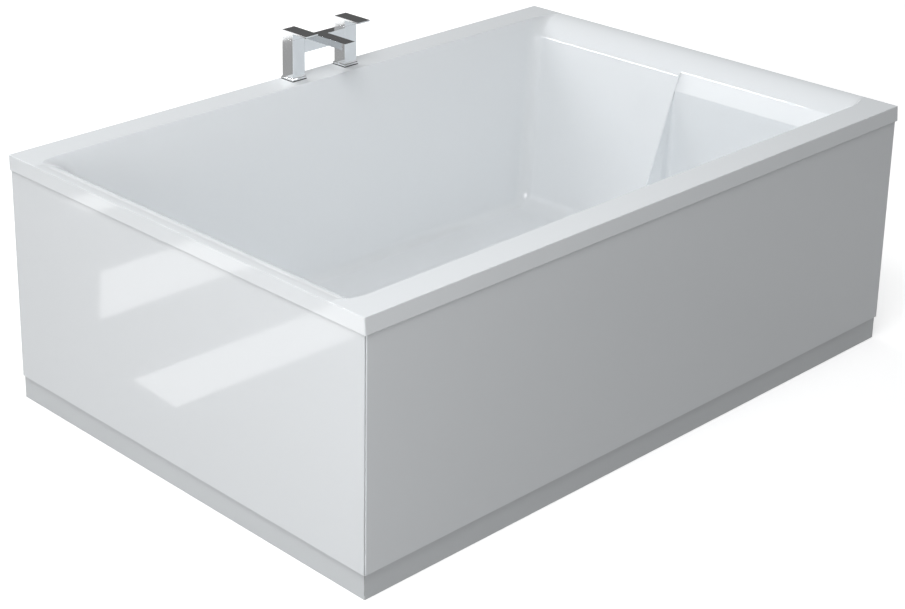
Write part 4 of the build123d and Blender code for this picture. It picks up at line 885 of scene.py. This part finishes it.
# Overflow hose.
# Grey plastic hose with rolled ribs, pushed over the ports of the overflow body
# and the waste cup. It hangs down along the wall and bends in under the floor.
hose_top = Vector((0.0, -0.514398, 0.519694))
hose_corner = Vector((0.0, -0.393628, 0.104))
hose_end = Vector((0.0, -0.050, 0.104))
hose_bend = 0.060
bend_steps = 24
hose_outer = 0.012
hose_inner = 0.0096
rib_pitch = 0.0042
rib_rise = 0.0009
hose_sides = 28
steps_per_rib = 6
hose_tone = (0.40, 0.41, 0.42)


def hose_points():
    """Points of the hose's middle line: down, round the bend and along."""
    down = (hose_corner - hose_top).normalized()
    along = (hose_end - hose_corner).normalized()
    turn = down.angle(along)
    set_back = hose_bend * math.tan(turn / 2)
    centre = hose_corner + (along - down).normalized() * (hose_bend / math.cos(turn / 2))
    before = (hose_corner - down * set_back - centre).normalized()
    after = (hose_corner + along * set_back - centre).normalized()
    points = [hose_top]
    for step in range(bend_steps + 1):
        share = step / bend_steps
        spoke = (before * math.sin((1 - share) * turn) + after * math.sin(share * turn)) / math.sin(turn)
        points.append(centre + spoke * hose_bend)
    return points + [hose_end]


def bent_hose_tree():
    """Lays a straight tube along a path and ribs its wall, from how far along each point is and which way out."""
    tree, entry, exit_ = shape_tree("bent_hose", Path="Object", Ribs="Float", Rise="Float", Material="Material")

    def point_value(kind, name):
        """A named attribute of each point."""
        reader = node_of(tree, "GeometryNodeInputNamedAttribute", {"data_type": kind}, Name=name)
        return reader.outputs["Attribute"]

    def vector_of(operation, first, key, second):
        """A vector operation on a first value and one for the input with the key given."""
        made = node_of(tree, "ShaderNodeVectorMath", {"operation": operation})
        tree.links.new(first, made.inputs[0])
        tree.links.new(second, made.inputs[key])
        return made.outputs[0]

    along = point_value("FLOAT", "along")
    out = node_of(tree, "ShaderNodeSeparateXYZ")
    path = node_of(tree, "GeometryNodeObjectInfo")
    spot = node_of(tree, "GeometryNodeSampleCurve", {"mode": "FACTOR", "use_all_curves": True})
    lay = node_of(tree, "GeometryNodeSetPosition")
    tree.links.new(point_value("FLOAT_VECTOR", "across"), out.inputs[0])
    tree.links.new(along, spot.inputs["Factor"])
    wire(tree, (entry, "Path", path, "Object"), (path, "Geometry", spot, "Curves"),
         (entry, "Geometry", lay, "Geometry"))
    ribs_passed = math_of(tree, "MULTIPLY", along, entry.outputs["Ribs"])
    wave = math_of(tree, "COSINE", math_of(tree, "MULTIPLY", ribs_passed, 2 * math.pi))
    reach = math_of(tree, "ADD", out.outputs["Z"], math_of(tree, "MULTIPLY", wave, entry.outputs["Rise"]))
    side = vector_of("CROSS_PRODUCT", spot.outputs["Tangent"], 1, spot.outputs["Normal"])
    spoke = vector_of("ADD", vector_of("SCALE", spot.outputs["Normal"], "Scale", out.outputs["X"]),
                      1, vector_of("SCALE", side, "Scale", out.outputs["Y"]))
    spoke = vector_of("SCALE", spoke, "Scale", reach)
    tree.links.new(vector_of("ADD", spot.outputs["Position"], 1, spoke), lay.inputs["Position"])
    return end_tree(tree, entry, exit_, lay)


def tube_seed(name, stations):
    """A closed tube of two skins. Its points hold how far along they are, their direction and their radius."""
    shares = [index / (stations - 1) for index in range(stations)]
    loops = [(share, hose_outer - rib_rise) for share in shares] + [(share, hose_inner) for share in shares[::-1]]
    spots = [(x, y, radius, share) for share, radius in loops for x, y in circle_points(1.0, hose_sides)]
    mesh = bpy.data.meshes.new(name)
    mesh.from_pydata([(x * radius, y * radius, share) for x, y, radius, share in spots], [],
                     ring_faces(len(loops), hose_sides, True))
    along = mesh.attributes.new("along", "FLOAT", "POINT")
    across = mesh.attributes.new("across", "FLOAT_VECTOR", "POINT")
    for index, (x, y, radius, share) in enumerate(spots):
        along.data[index].value = share
        across.data[index].vector = (x, y, radius)
    mesh.polygons.foreach_set("use_smooth", [True] * len(mesh.polygons))
    return mesh


hose_plastic = plain_finish("hose_plastic", hose_tone, gloss=0.45, tone_drift=0.1, gloss_drift=0.12, scale=40.0,
                            tooth_share=0.6, relief=0.2)
path_points = hose_points()
path_curve = bpy.data.curves.new("hose_path", "CURVE")
path_curve.dimensions = "3D"
path_line = path_curve.splines.new("POLY")
path_line.points.add(len(path_points) - 1)
for index, point in enumerate(path_points):
    path_line.points[index].co = (*point, 1.0)
path_object = bpy.data.objects.new("hose_path", path_curve)
scene.collection.objects.link(path_object)
rib_count = round(sum((after - before).length for before, after in zip(path_points, path_points[1:])) / rib_pitch)
hose_mesh = grown_mesh("ribbed_hose", tube_seed("tube_seed", rib_count * steps_per_rib + 1), bent_hose_tree(),
                       {"Path": path_object, "Ribs": float(rib_count), "Rise": rib_rise, "Material": hose_plastic})
bpy.data.objects.remove(path_object)
new_piece("overflow_hose_ribbed", hose_mesh, hose_plastic, "bath", "hose", "overflow_hose")


# Trap and waste pipe.
# A shallow white plastic trap is held under the cup by a ribbed nut you turn by
# hand, and the pipe to the drain runs out level under the bath.
trap_edge = 0.0008
grip_rib_radius = 0.0013
grip_rib_sides = 8
grip_rib_round = 0.0008
grip_rib_tip = 0.6
nut_grips = (0.028, 0.0635, 0.0805, 30)  # radius, foot, head and count
coupler_grips = (0.026, 0.1195, 0.1605, 26)
pipe_level = 0.077


def grip_rib(name, length):
    """A half-buried rib along Z with a rounded back and closed ends."""
    ring = circle_points(grip_rib_radius, grip_rib_sides)
    stations = ((grip_rib_tip, 0.0), (1.0, grip_rib_round), (1.0, length - grip_rib_round), (grip_rib_tip, length))
    return ring_mesh(name, [[(x * share, y * share, level) for x, y in ring] for share, level in stations])


dress(white_plastic, "trap_body", "waste_pipe")
dress(rubber, "trap_seal")
eased_piece("trap_nut_eased", "trap_nut", white_plastic, "bath", "white_plastic", trap_edge)
eased_piece("pipe_coupler_eased", "pipe_coupler", white_plastic, "bath", "white_plastic", trap_edge)
radius, foot, head, count = nut_grips
nut_spots = [(x, y, foot) for x, y in circle_points(radius, count)]
like_piece("trap_nut_grips", grip_rib("nut_grip", head - foot), nut_spots, [(0, 0, 1)] * count,
           white_plastic, "white_plastic")
radius, foot, head, count = coupler_grips
coupler_spots = [(x, foot, pipe_level + z) for x, z in circle_points(radius, count)]
like_piece("coupler_grips", grip_rib("coupler_grip", head - foot), coupler_spots, [(0, 1, 0)] * count,
           white_plastic, "white_plastic")


# Tap tails, washers and nuts.
# Each pillar has a threaded brass tail through the rim. A nut and a rubber
# washer draw it down from below, and a dark gasket seals it from above.
tap_places = ((-0.047, 0.571), (0.133, 0.571))
tail_foot = 0.5568
tail_thread_end = 0.600
tail_thread_radius = 0.0134
tail_thread_pitch = 0.0018
tail_thread_depth = 0.0007
tail_thread_sides = 30
tail_nut_edge = 0.0008
tail_points = point_mesh("tail_points", [(x, y, tail_foot) for x, y in tap_places])
tail_threads = grown_mesh("tail_threads", tail_points, rod_tree, {
    "Radius": tail_thread_radius, "Depth": tail_thread_depth, "Pitch": tail_thread_pitch,
    "Length": tail_thread_end - tail_foot, "Sides": tail_thread_sides, "Core": False, "Material": brass})
new_piece("tail_threads", tail_threads, brass, "bath", "brass")
dress(brass, "tap_tails")
eased_piece("tail_nuts_eased", "tail_nuts", brass, "bath", "brass", tail_nut_edge)
dress(rubber, "tail_washers", "tap_gaskets")


# Pillars, bridge and spout.
# Square brass bodies, cast, polished and chrome plated: two pillars on thin base
# plates, a bar between them, and the flat spout that comes out of the bar.
tap_edge = 0.0006
dress(chrome, "tap_plates")
for casting in ("tap_pillars", "tap_bridge"):
    eased_piece(casting + "_polished", casting, chrome, "bath", "chrome", tap_edge)
dress(white_plastic, "aerator")


# Cartridges.
# A turned brass case in each pillar holds two lapped ceramic discs. The spindle
# turns the upper one over the lower one and so opens the way for the water.
ceramic_tone = (0.80, 0.785, 0.75)
ceramic = plain_finish("lapped_ceramic", ceramic_tone, gloss=0.16, tone_drift=0.03, gloss_drift=0.06, scale=60.0,
                       tooth_share=0.6, relief=0.03)
dress(brass, "cartridges", "spindle_hot", "spindle_cold")
dress(ceramic, "fixed_discs", "turning_disc_hot", "turning_disc_cold")


# Levers.
# Square hubs, chrome plated, with a flat blade that points over the bath. A
# small screw in the back of each hub holds it on its spindle.
for lever in ("lever_hot", "lever_cold"):
    eased_piece(lever + "_polished", lever, chrome, lever, "chrome", tap_edge)
dress(bright_zinc, "grub_screw_hot", "grub_screw_cold")


# Panels.
# Lacquered board hangs between the rim and the set-back plinths on the front
# and both ends. Its faces are sprayed and polished until they mirror the studio.
panel_edge = 0.0010
lacquer_tone = (0.785, 0.810, 0.830)
lacquer_gloss = 0.065
lacquer = plain_finish("sprayed_lacquer", lacquer_tone, lacquer_gloss, tone_drift=0.01, gloss_drift=0.02, scale=2.0,
                       ripple=6.0, tooth=500.0, tooth_share=0.04, relief=0.02, IOR=1.5)
for panel in ("front_panel", "left_panel", "right_panel"):
    eased_piece(panel + "_lacquered", panel, lacquer, "bath", "panel", panel_edge)


# Plinths.
# Strips of lacquered board stand on the floor behind the panels' line and close the gap in front of the feet.
# Their lacquer is darker and greyer than the panels': painted shade for their place set back under the panels.
# Painted shade: the plinth lacquer's tone is set darker than the panel lacquer's to stand for the shade under the
# panels' line.
plinth_shaded_tone = (0.637, 0.660, 0.677)
plinth_gloss = 0.09
plinth_shaded_lacquer = plain_finish("plinth_shaded_lacquer", plinth_shaded_tone, plinth_gloss, tone_drift=0.012, gloss_drift=0.03,
                              scale=3.0, ripple=6.0, tooth=500.0, tooth_share=0.05, relief=0.03, IOR=1.5)
for plinth in ("front_plinth", "left_plinth", "right_plinth"):
    eased_piece(plinth + "_lacquered", plinth, plinth_shaded_lacquer, "bath", "panel", panel_edge)
